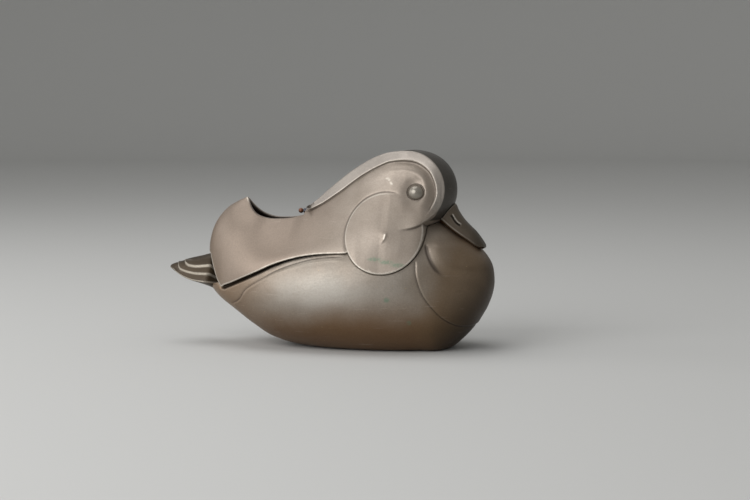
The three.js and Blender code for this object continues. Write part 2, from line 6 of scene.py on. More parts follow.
import bpy
import numpy as np
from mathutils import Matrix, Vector


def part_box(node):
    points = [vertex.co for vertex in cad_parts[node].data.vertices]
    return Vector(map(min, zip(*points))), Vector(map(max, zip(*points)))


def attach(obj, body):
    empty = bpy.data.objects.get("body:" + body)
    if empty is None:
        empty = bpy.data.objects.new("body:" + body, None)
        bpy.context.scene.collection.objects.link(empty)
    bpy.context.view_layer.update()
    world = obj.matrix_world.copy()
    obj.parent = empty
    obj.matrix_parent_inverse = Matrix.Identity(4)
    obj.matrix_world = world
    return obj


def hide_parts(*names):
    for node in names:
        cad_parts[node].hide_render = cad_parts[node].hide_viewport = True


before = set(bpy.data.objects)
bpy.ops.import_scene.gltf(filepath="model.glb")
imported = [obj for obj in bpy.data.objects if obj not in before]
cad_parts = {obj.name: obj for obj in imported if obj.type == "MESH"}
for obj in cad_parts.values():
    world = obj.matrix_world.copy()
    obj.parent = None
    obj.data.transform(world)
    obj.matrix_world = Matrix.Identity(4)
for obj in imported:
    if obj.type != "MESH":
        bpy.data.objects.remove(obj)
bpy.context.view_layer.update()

MM = 0.001

# Hull, castings and fits, as in the solids. Two angles, in degrees, say where the head roofs the hollow.
NOSE_X = 104.0
STERN_X = -76.0
BEAM_X = 20.0
HALF_BEAM = 46.0
LOWER_ROUNDING = 2.1
UPPER_ROUNDING = 2.3
BOWL_WALL = 4.2
LID_WALL = 3.0
LID_OVERHANG = 1.5
SEAT_GAP = 0.3
SIDE_GAP = 0.6
FIT_GAP = 0.3
COLLAR_HEIGHT = 3.0
FLOOR_TOP = 5.0
THINNEST = 0.3

HEAD_X, HEAD_Z, HEAD_R = 52.4, 98.6, 23.2
BROW_FORWARD, BROW_DOWN, BROW_GROWN = 4.3, 1.0, 0.7
HEAD_ROOF_FROM, HEAD_ROOF_TO = 85, -40
HOLLOW_FRONT = 57.0
EYE_X, EYE_Z = 59.7, 97.5
COLLAR_RADIUS, COLLAR_LENGTH, STEM_RADIUS = 1.5, 1.8, 0.8
BEAD_RADIUS = 1.6
PLATE_X, PLATE_HALF_LENGTH, PLATE_HALF_WIDTH, PLATE_TOP, PLATE_LEDGE = 30.0, 27.0, 14.0, 2.1, 2.5
PIN_RADIUS, PIN_HEAD_RADIUS, PIN_FROM_WALL = 1.1, 2.0, 0.8
TAIL_PIN_X, TAIL_PIN_LOW, TAIL_PIN_SEAT = -68.0, 30.6, 43.0

# The cheek's disc. The photograph shows it a little higher, smaller and thinner than the solids have it.
# The lid's edge follows it between two angles, in degrees.
CHEEK_X, CHEEK_Z, CHEEK_R = 41.6, 72.8, 23.9
CHEEK_RIM, CHEEK_APEX = 0.85, 2.6
CHEEK_FROM, CHEEK_TO = 208, 367

# Outlines in side view, as (x, z).
WING_EDGE = [
    (-61, 38.2), (-55.8, 40.4), (-37.7, 48.1), (-26.4, 53.1), (-12.4, 57.4), (1.5, 59.7), (19.4, 60.7),
]
SECTION_FEET = [
    (29.5, 51), (41.5, 47.8), (53.5, 51), (58, 54), (62, 59), (65, 65), (68, 69.5), (72, 73.5), (74, 74.5),
]
MOUTH_BACK = (-90, 30)
MOUTH_FRONT = [(34, 62), (48, 65), (57, 69), (61, 86)]
STERN_LINE = [
    (-77, 55.8), (-76.7, 63.5), (-74.6, 72), (-70.9, 79.1), (-65, 85.5), (-59.2, 89.1), (-52.3, 92.3),
]
SADDLE_LINE = [
    (-51.6, 91), (-48.3, 85.6), (-43.6, 81.6), (-36.3, 79.4), (-27.7, 79.3), (-20.6, 80.1), (-13.5, 82),
]
CREST_LINE = [
    (-14, 85), (-10.8, 87.8), (-5.7, 91.9), (-0.6, 96.4), (7, 102.6), (14.6, 108.4), (22.2, 113.3),
    (29.8, 117.4), (39.3, 120.7), (49, 121.7),
]
ARCH_LINE = [(-60.6, 38.7), (-63.6, 37.5), (-67.9, 42.8), (-71.7, 50.4), (-74.2, 56.5)]

# Lines of the relief, in side view. The mouth is a stretch of the head's circle, in degrees.
RING_INNER = [
    (-13.6, 83.9), (-9, 85.4), (-5, 87.4), (-0.5, 89.9), (9.5, 96.6), (23.6, 106.6), (37.8, 113.9),
    (45, 115.7), (52, 116), (58.8, 114.7), (65.6, 110.3), (69.5, 103.6), (70.8, 96), (68.8, 88.4), (65.5, 82),
]
MOUTH_FROM, MOUTH_OPEN, MOUTH_TO = -98, -62, -38
CREASE = [(43.3, 74), (43.4, 71.6), (42.2, 69), (40, 66.8)]
# Short lines painted light: small scuffs, and a painted highlight along the cheek's crease.
SCUFFS_AND_GLINTS = [
    [(40.2, 105.4), (41.7, 104.8)], [(41.9, 105.3), (42.7, 103.6), (44.1, 101.9)], [(43, 72.6), (42.6, 70)],
]
FLANK_LINE = [
    (-57, 27), (-49.8, 30.7), (-44.8, 37), (-36.3, 42.6), (-23.6, 49.7), (-9.6, 54.7), (4.2, 57.7),
    (19.4, 58.7),
]
BREAST_LINE = [(61.5, 58), (62.5, 47.3), (66.2, 36.6), (72.3, 27.4), (78.5, 20.5), (86.6, 15.8), (97, 15)]
CRESCENT = [(66, 68), (67.6, 61.8), (70.2, 55.9), (73.8, 50.6), (78.7, 46.2), (82, 44.5)]

# Heights of the relief: a rise stands out of the skin, and a depth is cut into it.
BAND_RISE, BAND_FOOT_DEPTH, CHANNEL_DEPTH, BROW_RISE = 0.9, 0.35, 0.9, 0.8
DISC_FOOT_DEPTH, CREASE_RISE, EYE_HOLLOW_DEPTH = 0.25, 0.3, 1.1
MOUTH_RISE, MOUTH_SETBACK, MOUTH_DEPTH = 1.0, 0.7, 0.3
FLANK_DEPTH, FLANK_RISE, BREAST_DEPTH, BREAST_RISE = 0.4, 0.2, 0.5, 0.25
FOLD_RISE, FOLD_DEPTH, REBATE_DEPTH = 2.0, 0.9, 2.4
NOSTRIL_RISE, NOSTRIL_DEPTH, LIP_RISE, LIP_DEPTH = 0.5, 0.8, 0.45, 0.35
TAIL_RIM_RISE = 0.35

# How far edges are rounded.
EDGE_ROUND, LID_EDGE_ROUND, HOLLOW_ROUND, SEAT_ROUND, FIT_ROUND, FOOT_ROUND = 0.5, 0.45, 0.8, 0.4, 0.3, 2.5

# Tail and bill. A line on the tail is (x, share of the half width).
TAIL_HALF, TAIL_STEP, TAIL_ROOT, TAIL_TIP = 17.0, 0.8, -63.0, -104.0
TAIL_WIDTH = [
    (-103.6, 0.14), (-101.5, 0.38), (-98, 0.6), (-92, 0.8), (-85, 0.94), (-77, 1), (-70, 0.72), (-63, 0.45),
]
TAIL_RIDGE = [
    (-104, 47.8), (-102.5, 49), (-95.6, 51.2), (-89.5, 53.2), (-82.3, 54.9), (-78.3, 56), (-75.2, 56.5),
    (-71, 49.5), (-63, 43),
]
TAIL_RIM = [(-104, 47.4), (-98.9, 46.3), (-96.4, 44.7), (-91.1, 42.1), (-84, 40), (-75.1, 39), (-63, 37.5)]
TAIL_UNDER = [
    (-104, 47.2), (-98, 43.8), (-90, 40), (-82, 37.8), (-76, 36), (-72, 34.2), (-68, 33.3), (-63, 33.3),
]
TAIL_ROOF = [(0, 0), (0.25, 0.14), (0.48, 0.47), (0.68, 0.72), (0.84, 0.87), (1, 1), (1.3, 1.6)]
TAIL_LINES = [
    [(-94.4, 0), (-93.7, 0.14), (-92.3, 0.36), (-89.1, 0.46), (-84, 0.48), (-63, 0.48)],
    [(-98.4, 0), (-97.7, 0.27), (-97, 0.48), (-94.6, 0.66), (-88, 0.69), (-63, 0.7)],
]

BILL_RIDGE = [
    (74, 95), (79.7, 89.6), (82.1, 84.9), (85.3, 80.2), (88.9, 76.4), (92.9, 72.5), (96.4, 67.9),
    (98.4, 64.4), (98.7, 62.6),
]
BILL_EDGE = [
    (64, 80), (70.3, 76.6), (74.5, 73.8), (78.2, 71.2), (82.5, 68.7), (87.5, 65.9), (92.2, 63), (96.4, 61.8),
    (98.7, 62.6),
]
BILL_WIDTH = [
    (0, 1.02), (0.12, 1), (0.25, 0.95), (0.4, 0.91), (0.55, 0.89), (0.7, 0.86), (0.86, 0.72), (1, 0.3),
]
BILL_HALF, BILL_WIDEST = 9.5, 0.3
BILL_TURN = 38.0
NOSTRIL = [(77.9, 83.4), (79.5, 80.7), (81.5, 78), (84.7, 75.7)]
BILL_LIP = [(68.5, 82), (73, 80.2), (76.9, 76.9), (82.5, 72.6), (89.6, 67.9), (95, 64)]


# Smooth functions and lines.

def through(points):
    """A smooth function through a few points, which never overshoots them."""
    x, z = np.array(points, float).T
    rise = np.diff(z) / np.diff(x)
    before, after = rise[:-1], rise[1:]
    together = before * after > 0
    inner = np.where(together, 2 * before * after / np.where(together, before + after, 1), 0)
    slopes = np.concatenate([rise[:1], inner, rise[-1:]])

    def value(at):
        at = np.clip(at, x[0], x[-1])
        i = np.clip(np.searchsorted(x, at, side="right") - 1, 0, len(x) - 2)
        span = x[i + 1] - x[i]
        t = (at - x[i]) / span
        smooth = t * t * (3 - 2 * t)
        leaving = t * (1 - t) ** 2 * span * slopes[i]
        arriving = t * t * (1 - t) * span * slopes[i + 1]
        return z[i] * (1 - smooth) + z[i + 1] * smooth + leaving - arriving

    return value


def spline(points, steps=8):
    """Points along a smooth line through a few points, with steps between each two."""
    p = np.array(points, float)
    p = np.vstack([2 * p[0] - p[1], p, 2 * p[-1] - p[-2]])
    t = np.linspace(0, 1, steps, endpoint=False)[:, None]
    runs = []
    for a, b, c, d in zip(p, p[1:], p[2:], p[3:]):
        runs.append(0.5 * (2 * b + (c - a) * t + (2 * a - 5 * b + 4 * c - d) * t ** 2
                           + (3 * b - a - 3 * c + d) * t ** 3))
    return np.vstack(runs + [p[-2][None]])


def arc(x, z, radius, start, end, steps=40):
    a = np.radians(np.linspace(start, end, steps + 1))
    return np.stack([x + radius * np.cos(a), z + radius * np.sin(a)], axis=1)


def step(low, high, value):
    t = np.clip((value - low) / (high - low), 0, 1)
    return t * t * (3 - 2 * t)


def hump(value, width):
    return np.exp(-((value / width) ** 2))


def both(a, b, radius):
    """The space that two forms share, its edge rounded."""
    h = np.maximum(radius - np.abs(a - b), 0) / radius
    return np.maximum(a, b) + h * h * radius / 4


def either(a, b, radius):
    return -both(-a, -b, radius)


def to_line(x, z, line):
    """For places in side view: their distance from a line, how far along it they are, and their side."""
    best = np.full(x.shape, 1e9)
    share = np.zeros(x.shape)
    side = np.zeros(x.shape)
    for i, (a, b) in enumerate(zip(line, line[1:])):
        dx, dz = b - a
        length = max(dx * dx + dz * dz, 1e-12)
        t = np.clip(((x - a[0]) * dx + (z - a[1]) * dz) / length, 0, 1)
        px, pz = x - a[0], z - a[1]
        far = (px - t * dx) ** 2 + (pz - t * dz) ** 2
        near = far < best
        best = np.where(near, far, best)
        share = np.where(near, (i + t) / (len(line) - 1), share)
        side = np.where(near, dx * pz - dz * px, side)
    return np.sqrt(best), share, np.where(side > 0, 1.0, -1.0)


def within(x, z, ring):
    """Distance from a closed outline in side view, negative inside."""
    closed = np.vstack([ring, ring[:1]])
    inside = np.zeros(x.shape, bool)
    for a, b in zip(closed, closed[1:]):
        if a[1] == b[1]:
            continue
        crosses = (a[1] > z) != (b[1] > z)
        inside ^= crosses & (x < (b[0] - a[0]) * (z - a[1]) / (b[1] - a[1]) + a[0])
    return np.where(inside, -1, 1) * to_line(x, z, closed)[0]


# Fields.

class Grid:
    """Sample places on the left of the middle plane. Every form is the same on both sides."""

    def __init__(self, low, high, pitch):
        counts = [int(math.ceil((b - a) / pitch)) + 1 for a, b in zip(low, high)]
        self.low = np.array([low[0], pitch / 2, low[2]])
        self.pitch = pitch
        self.x = (low[0] + np.arange(counts[0]) * pitch)[:, None, None].astype(np.float32)
        self.y = ((np.arange(counts[1]) + 0.5) * pitch)[None, :, None].astype(np.float32)
        self.z = (low[2] + np.arange(counts[2]) * pitch)[None, None, :].astype(np.float32)
        x, z = self.x.ravel().astype(float), self.z.ravel().astype(float)
        self.x2, self.z2 = np.meshgrid(x, z, indexing="ij")

    def flat(self, values):
        """Values in side view, the same across the duck."""
        return values.astype(np.float32)[:, None, :]

    def distance(self, form):
        """A form's value made into roughly a distance from its surface."""
        slopes = np.gradient(form, self.pitch)
        steepness = np.sqrt(sum(s * s for s in slopes))
        return form / np.maximum(steepness, 1e-3)

    def sample(self, field, places):
        at = (np.column_stack([places[:, 0], np.abs(places[:, 1]), places[:, 2]]) - self.low) / self.pitch
        at = np.clip(at, 0, np.array(field.shape) - 1.001)
        i = at.astype(int)
        t = at - i
        total = 0
        for a in (0, 1):
            for b in (0, 1):
                for c in (0, 1):
                    share = (t[:, 0] if a else 1 - t[:, 0]) * (t[:, 1] if b else 1 - t[:, 1])
                    share = share * (t[:, 2] if c else 1 - t[:, 2])
                    total = total + share * field[i[:, 0] + a, i[:, 1] + b, i[:, 2] + c]
        return total

    def slopes(self, field, places, reach):
        """The field's gradient at places, and how sharply its surface bends there."""
        rows = []
        around = 0
        for axis in np.eye(3) * reach:
            ahead = self.sample(field, places + axis)
            behind = self.sample(field, places - axis)
            rows.append((ahead - behind) / (2 * reach))
            around = around + ahead + behind
        return np.stack(rows, axis=1), (around - 6 * self.sample(field, places)) / reach ** 2


CORNERS = np.array([(a, b, c) for a in (0, 1) for b in (0, 1) for c in (0, 1)])
EDGES = [(p, q) for p in range(8) for q in range(p + 1, 8) if np.abs(CORNERS[p] - CORNERS[q]).sum() == 1]


def surface(grid, half_field):
    """Vertices and four-sided faces on the surface of a field, for the whole duck."""
    field = np.concatenate([half_field[:, ::-1], half_field], axis=1)
    low = grid.low * [1, 0, 1] + [0, -(half_field.shape[1] - 0.5) * grid.pitch, 0]
    inside = field < 0
    n = np.array(field.shape)
    filled = np.zeros(n - 1, np.int8)
    for a, b, c in CORNERS:
        filled += inside[a:n[0] - 1 + a, b:n[1] - 1 + b, c:n[2] - 1 + c]
    active = (filled > 0) & (filled < 8)
    cells = np.argwhere(active)
    number = np.full(active.shape, -1, np.int32)
    number[active] = np.arange(len(cells))
    values = np.stack([field[tuple((cells + corner).T)] for corner in CORNERS], axis=1)
    places = np.zeros((len(cells), 3))
    count = np.zeros(len(cells))
    for p, q in EDGES:
        cross = (values[:, p] < 0) != (values[:, q] < 0)
        gap = np.where(cross, values[:, p] - values[:, q], 1)
        t = np.where(cross, values[:, p] / gap, 0)
        places += cross[:, None] * (CORNERS[p] + t[:, None] * (CORNERS[q] - CORNERS[p]))
        count += cross
    vertices = (cells + places / count[:, None]) * grid.pitch + low
    faces = []
    for axis in range(3):
        u, v = np.eye(3, dtype=int)[[(axis + 1) % 3, (axis + 2) % 3]]
        here = [slice(1, -1)] * 3
        here[axis] = slice(0, -1)
        there = list(here)
        there[axis] = slice(1, None)
        first = inside[tuple(here)]
        change = first != inside[tuple(there)]
        offset = np.ones(3, int)
        offset[axis] = 0
        spots = np.argwhere(change) + offset
        quad = np.stack([number[tuple((spots - s).T)] for s in (u + v, v, 0 * u, u)], axis=1)
        outward = first[change]
        faces.append(np.where(outward[:, None], quad, quad[:, ::-1]))
    return vertices, np.vstack(faces)


# Materials.

def linear(*eight_bit):
    """A colour, given as it shows on a screen, in the shader's own scale."""
    return tuple(((c / 255 + 0.055) / 1.055) ** 2.4 if c > 10 else c / 255 / 12.92 for c in eight_bit) + (1,)


METALLIC = 0.55
CLOUDS, MOTTLE, GRAIN, PITS = 16, 75, 1100, 260  # noise, per metre
# The edge tone is wear together with painted highlight along rims.
RECESS_TONE, EDGE_LIGHT_TONE, SCRATCH_TONE = linear(40, 31, 25), linear(205, 196, 184), linear(200, 190, 178)
GRAIN_TONE, SPECK_TONE = linear(48, 39, 32), linear(190, 165, 120)


class Nodes:
    """A material's nodes, added one at a time."""

    def __init__(self, name):
        self.material = bpy.data.materials.new(name)
        self.material.use_nodes = True
        self.tree = self.material.node_tree
        self.shader = self.tree.nodes["Principled BSDF"]

    def add(self, kind, inputs=(), **settings):
        made = self.tree.nodes.new(kind)
        for key, value in settings.items():
            setattr(made, key, value)
        for key, value in dict(inputs).items():
            if isinstance(value, bpy.types.NodeSocket):
                self.tree.links.new(value, made.inputs[key])
            else:
                made.inputs[key].default_value = value
        return made

    def noise(self, where, scale, detail=4, roughness=0.55):
        inputs = {"Vector": where, "Scale": scale, "Detail": detail, "Roughness": roughness}
        return self.add("ShaderNodeTexNoise", inputs).outputs["Fac"]

    def spread(self, value, low, high, to_low=0.0, to_high=1.0):
        inputs = {"Value": value, "From Min": low, "From Max": high, "To Min": to_low, "To Max": to_high}
        return self.add("ShaderNodeMapRange", inputs, interpolation_type="SMOOTHSTEP").outputs["Result"]

    def times(self, a, b):
        return self.add("ShaderNodeMath", {0: a, 1: b}, operation="MULTIPLY").outputs[0]

    def plus(self, a, b):
        return self.add("ShaderNodeMath", {0: a, 1: b}, operation="ADD").outputs[0]

    def mix(self, share, a, b, blend="MIX"):
        made = self.add("ShaderNodeMix", {"Factor": share}, data_type="RGBA", blend_type=blend)
        for socket, value in ((made.inputs[6], a), (made.inputs[7], b)):
            if isinstance(value, bpy.types.NodeSocket):
                self.tree.links.new(value, socket)
            else:
                socket.default_value = value
        return made.outputs[2]


def bronze(name, dark, light, tints=(), marks=(), rubbed_and_highlit=0.3, rough=(0.4, 0.5), specks=0.0, patches=()):
    """Patinated bronze: cloudy tones that change along the casting, marked areas, worn edges with painted
    highlight, and wear.

    A tint is (direction, start, end, tone, amount), a mark is (attribute, tone, amount), and a patch is
    (centre, radius, tone, amount, how ragged).
    """
    n = Nodes(name)
    where = n.add("ShaderNodeTexCoord").outputs["Object"]
    cloud = n.noise(where, CLOUDS, 4, 0.5)
    mottle = n.noise(where, MOTTLE, 6, 0.62)
    grain = n.noise(where, GRAIN, 3, 0.6)
    lightness = n.plus(n.spread(cloud, 0.3, 0.7, 0.0, 0.6), n.spread(mottle, 0.3, 0.7, 0.0, 0.4))
    colour = n.mix(lightness, dark, light)
    for direction, start, end, tone, amount in tints:
        along = n.add("ShaderNodeVectorMath", {0: where, 1: direction}, operation="DOT_PRODUCT")
        wavering = n.plus(along.outputs["Value"], n.spread(cloud, 0.3, 0.7, -0.008, 0.008))
        colour = n.mix(n.spread(wavering, start * MM, end * MM, 0, amount), colour, tone)
    bend = n.add("ShaderNodeAttribute", attribute_name="bend").outputs["Fac"]
    colour = n.mix(n.times(n.spread(bend, -0.1, -1.2), 0.45), colour, RECESS_TONE)
    for mark, tone, amount in marks:
        area = n.add("ShaderNodeAttribute", attribute_name=mark).outputs["Fac"]
        colour = n.mix(n.times(n.spread(area, 0.1, 0.9), amount), colour, tone)
    # Convex edges are painted lighter: wear on the rims, and painted highlight along them.
    worn_and_highlit = n.times(n.spread(bend, 0.25, 1.4), n.times(n.spread(mottle, 0.3, 0.6, 0.5, 1.0), rubbed_and_highlit))
    colour = n.mix(worn_and_highlit, colour, EDGE_LIGHT_TONE)
    stretched = n.add(
        "ShaderNodeMapping", {"Vector": where, "Scale": (60, 60, 900), "Rotation": (0.2, 0.5, 0)},
    )
    scratch = n.spread(n.noise(stretched.outputs["Vector"], 1, 2, 0.5), 0.68, 0.76)
    colour = n.mix(n.times(scratch, 0.16), colour, SCRATCH_TONE)
    colour = n.mix(n.spread(grain, 0.3, 0.7, 0.0, 0.12), colour, GRAIN_TONE)
    if specks:
        cells = n.add("ShaderNodeTexVoronoi", {"Vector": where, "Scale": PITS})
        spot = n.spread(cells.outputs["Distance"], 0.12, 0.05)
        chosen = n.spread(n.noise(where, 60, 2), 0.56, 0.62)
        colour = n.mix(n.times(n.times(spot, chosen), specks), colour, SPECK_TONE)
    for centre, radius, tone, amount, ragged in patches:
        place = n.add("ShaderNodeVectorMath", {0: where, 1: Vector(centre) * MM}, operation="SUBTRACT")
        squeezed = n.add("ShaderNodeVectorMath", {0: place.outputs[0], 1: [1 / (r * MM) for r in radius]},
                         operation="MULTIPLY")
        far = n.add("ShaderNodeVectorMath", {0: squeezed.outputs[0]}, operation="LENGTH").outputs["Value"]
        broken = n.spread(n.noise(where, 700, 4, 0.7), 0.3, 0.55, 1 - ragged, 1)
        colour = n.mix(n.times(n.times(n.spread(far, 1.0, 0.2), broken), amount), colour, tone)
    n.tree.links.new(colour, n.shader.inputs["Base Color"])
    n.shader.inputs["Metallic"].default_value = METALLIC
    uneven = n.plus(n.spread(mottle, 0.3, 0.7, rough[0], rough[1]), n.spread(grain, 0.3, 0.7, -0.03, 0.03))
    n.tree.links.new(uneven, n.shader.inputs["Roughness"])
    skin = n.plus(n.times(grain, 0.35), n.times(n.noise(where, PITS, 4, 0.6), 0.65))
    bump = n.add("ShaderNodeBump", {"Height": skin, "Strength": 0.2, "Distance": 0.0004})
    n.tree.links.new(bump.outputs["Normal"], n.shader.inputs["Normal"])
    return n.material


ALONG, DOWN, FORWARD_DOWN = (1, 0, 0), (0, 0, -1), (1, 0, -0.5)
GREEN = linear(92, 128, 104)
lid_bronze = bronze(
    "lid_bronze", linear(148, 136, 124), linear(166, 155, 144),
    tints=[(ALONG, 15, -30, linear(138, 123, 110), 0.85), (ALONG, -55, -76, linear(124, 106, 88), 0.6)],
    # Marks: painted light on the crest's band, painted shade on the forehead, darker inner walls, and edges
    # lit as wear and painted highlight.
    marks=[("band", linear(164, 157, 150), 0.75), ("crown_shade", linear(66, 63, 58), 0.92),
           ("darker_inside", linear(58, 42, 35), 0.9), ("rubbed_and_highlit", linear(214, 206, 194), 0.85)],
    rubbed_and_highlit=0.35,
    patches=[((38, -43, 57.9), (6, 14, 1.8), GREEN, 0.6, 1), ((45, -43, 56.3), (6, 14, 1.8), GREEN, 0.6, 1),
             ((52, -42, 54.6), (6, 14, 1.8), GREEN, 0.6, 1)],
)
bowl_bronze = bronze(
    "bowl_bronze", linear(138, 127, 115), linear(160, 152, 142),
    # The first tint browns the stern; the others are painted shade, darker towards the bottom, on the breast
    # and most of all at its lower front.
    tints=[(ALONG, -20, -62, linear(128, 104, 80), 0.8), (DOWN, -34, -6, linear(108, 78, 46), 0.9),
           (ALONG, 56, 84, linear(112, 90, 64), 0.8), (FORWARD_DOWN, 60, 95, linear(48, 38, 27), 0.9)],
    marks=[("shaded", linear(44, 34, 27), 0.75)], rubbed_and_highlit=0.12, specks=0.4,
    # The first patch is a painted highlight on the belly; the green ones are verdigris.
    patches=[((4, -46, 38), (42, 24, 15), linear(188, 186, 180), 0.3, 0.3),
             ((45.5, -43, 33.7), (2.6, 8, 2.2), GREEN, 0.6, 1), ((58, -38, 19.6), (2, 8, 2), GREEN, 0.5, 1)],
)
bill_bronze = bronze(
    "bill_bronze", linear(92, 82, 70), linear(108, 97, 84),
    tints=[(ALONG, 78, 90, linear(64, 57, 47), 0.8)],
    marks=[("warm", linear(122, 84, 50), 0.7), ("shaded", linear(36, 30, 25), 0.9),
           ("rubbed_and_highlit", linear(196, 190, 180), 0.85)],
    rubbed_and_highlit=0.1, rough=(0.34, 0.44),
)
tail_bronze = bronze(
    "tail_bronze", linear(62, 50, 36), linear(80, 67, 50),
    tints=[(DOWN, -49, -54, linear(56, 46, 33), 0.8)],
    marks=[("rubbed_and_highlit", linear(190, 182, 168), 0.5)], rubbed_and_highlit=0.2,
)
eye_bronze = bronze("eye_bronze", linear(140, 134, 124), linear(158, 152, 142), rough=(0.26, 0.34))
bead_copper = bronze("bead_copper", linear(104, 66, 48), linear(140, 92, 68))
collar_iron = bronze("collar_iron", linear(58, 60, 68), linear(84, 87, 98), rough=(0.3, 0.4))
liner_copper = bronze("liner_copper", linear(120, 74, 50), linear(160, 104, 74))


# Pieces.

MOST_FACES, MOST_FACES_SMALL = 190000, 60000


def finish_piece(piece, body, node, material):
    """Give a piece its material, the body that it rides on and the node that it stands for."""
    piece.data.materials.clear()
    piece.data.materials.append(material)
    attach(piece, body)
    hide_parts(node)


def as_object(name, vertices, faces):
    """A smooth mesh object from places in millimetres and faces with the same number of corners each."""
    faces = np.asarray(faces)
    mesh = bpy.data.meshes.new(name)
    mesh.vertices.add(len(vertices))
    mesh.vertices.foreach_set("co", (np.asarray(vertices) * MM).astype(np.float32).ravel())
    mesh.loops.add(faces.size)
    mesh.loops.foreach_set("vertex_index", faces.astype(np.int32).ravel())
    mesh.polygons.add(len(faces))
    mesh.polygons.foreach_set("loop_start", np.arange(0, faces.size, faces.shape[1], dtype=np.int32))
    mesh.update(calc_edges=True)
    mesh.validate()
    piece = bpy.data.objects.new(name, mesh)
    bpy.context.scene.collection.objects.link(piece)
    mesh.polygons.foreach_set("use_smooth", np.ones(len(mesh.polygons), bool))
    return piece


def casting(name, grid, field, most_faces, marks=()):
    """A field as a mesh of at most so many triangles, with its normals, bends and marked areas."""
    vertices, faces = surface(grid, field)
    for _ in range(2):
        slope, _bend = grid.slopes(field, vertices, grid.pitch / 2)
        value = grid.sample(field, vertices)
        move = slope * (value / np.maximum((slope ** 2).sum(axis=1), 0.2))[:, None]
        length = np.linalg.norm(move, axis=1, keepdims=True)
        vertices = vertices - move * np.minimum(1, 0.4 * grid.pitch / np.maximum(length, 1e-9))
    piece = as_object(name, vertices, faces)
    if 2 * len(faces) > most_faces:
        fewer = piece.modifiers.new("fewer", "DECIMATE")
        fewer.ratio = most_faces / (2 * len(faces))
        fewer.use_symmetry = True
        fewer.symmetry_axis = "Y"
        graph = bpy.context.evaluated_depsgraph_get()
        mesh = bpy.data.meshes.new_from_object(piece.evaluated_get(graph))
        piece.modifiers.clear()
        piece.data = mesh
    mesh = piece.data
    places = np.zeros(len(mesh.vertices) * 3, np.float32)
    mesh.vertices.foreach_get("co", places)
    places = places.reshape(-1, 3) / MM
    slope, _bend = grid.slopes(field, places, 0.8 * grid.pitch)
    normals = slope / np.maximum(np.linalg.norm(slope, axis=1, keepdims=True), 1e-6)
    _slope, bend = grid.slopes(field, places, 1.6 * grid.pitch)
    bend = np.clip(bend, -3, 3)
    mesh.attributes.new("bend", "FLOAT", "POINT").data.foreach_set("value", bend.astype(np.float32))
    for mark, area in dict(marks).items():
        amount = grid.sample(np.broadcast_to(area, field.shape), places).astype(np.float32)
        mesh.attributes.new(mark, "FLOAT", "POINT").data.foreach_set("value", amount)
    mesh.polygons.foreach_set("use_smooth", np.ones(len(mesh.polygons), bool))
    mesh.normals_split_custom_set_from_vertices(normals)
    return piece


# Hull.

hull_centre = through([
    (-76, 38), (-60, 36.6), (-40, 35), (-20, 33.5), (20, 33), (60, 36), (83, 39.7), (104, 42),
])
hull_rise = through([
    (-76, 20), (-60, 31.5), (-40, 36), (-20, 38), (20, 43), (60, 52), (71, 51), (83, 46), (104, 44),
])
hull_depth = through([
    (-76, 14), (-67, 22.5), (-59, 25.5), (-45, 32), (-33, 35.6), (-8, 36), (20, 37.2), (60, 45.5),
    (73, 53.5), (86, 53), (99, 50), (104, 46),
])


def hull_lengthwise(x):
    """0 where the hull is widest, 1 and -1 at its ends."""
    return (x - BEAM_X) / np.where(x > BEAM_X, NOSE_X - BEAM_X, BEAM_X - STERN_X)


def hull_half_width(x, z):
    fullness = np.sqrt(np.maximum(0, 1 - hull_lengthwise(x) ** 2))
    above = np.maximum(hull_rise(x) * fullness, THINNEST)
    t = np.clip((z - hull_centre(x)) / above, 0, 1)
    return HALF_BEAM * fullness * (1 - t ** UPPER_ROUNDING) ** (1 / UPPER_ROUNDING)


def hull(g):
    """The bowl's plain outside."""
    raised = g.z2 - hull_centre(g.x2)
    upper = raised > 0
    reach = np.where(upper, hull_rise(g.x2), hull_depth(g.x2))
    power = np.where(upper, UPPER_ROUNDING, LOWER_ROUNDING)
    tall = g.flat((np.abs(raised) / reach) ** power)
    beam = g.y / HALF_BEAM
    wide = np.where(g.flat(upper) > 0, beam ** UPPER_ROUNDING, beam ** LOWER_ROUNDING)
    across = (wide + tall) ** g.flat(2 / power)
    return g.distance(np.sqrt(across + g.flat(hull_lengthwise(g.x2) ** 2)) - 1)


# Lid. Its sections go up the panel from the lower edge, then over the crest's band, which slopes as a roof.

wing_edge = through(WING_EDGE)
section_foot = through(WING_EDGE + SECTION_FEET)
panel_top = through([
    (-78, 104), (-70, 101.5), (-62, 98), (-54, 93), (-45, 86), (-36.3, 80.6), (-28, 79.4), (-20.6, 80.4),
    (-12.1, 84), (-5, 87.4), (-0.5, 89.9), (9.5, 96.6), (23.6, 106.6), (37.8, 113.9), (52, 116),
])
panel_top_half = through([
    (-78, 0.5), (-66, 1), (-58, 2.2), (-52, 4), (-44, 7.2), (-36, 9.2), (-26, 9.8), (-14, 9.4), (-2, 8.8),
    (10, 9), (26, 11.3), (44, 14.5),
])
panel_bow = through([(-78, 1.9), (-62, 1.75), (-45, 1.55), (-25, 1.4), (-5, 1.3), (15, 1.2), (40, 1)])
band_top = through(CREST_LINE)
band_top_half = through([(-14, 2), (-8, 2.4), (8, 4), (30, 7), (44, 10), (52, 12)])
held_in = through([
    (-78, -69), (-70, -67), (-62, -61.5), (-52, -52), (66, 66), (72, 71.6), (78, 73.8), (84, 74),
])
STERN_FROM, STERN_ROUND, STERN_POWER = -40.0, 20.0, 2.4


def lid_width(x, z):
    """Half the lid's width at a place in side view."""
    edge = section_foot(x)
    low = hull_half_width(held_in(x), edge) + LID_OVERHANG
    top = panel_top_half(x)
    t = np.clip((z - edge) / (panel_top(x) - edge), 0, 1)
    width = top + (low - top) * (1 - t ** panel_bow(x))
    over = np.clip((z - panel_top(x)) / np.maximum(band_top(x) - panel_top(x), 0.5), 0, 1)
    over = over * step(-18, -15.5, x)
    return np.maximum(THINNEST, width * (1 - over) + band_top_half(x) * over)


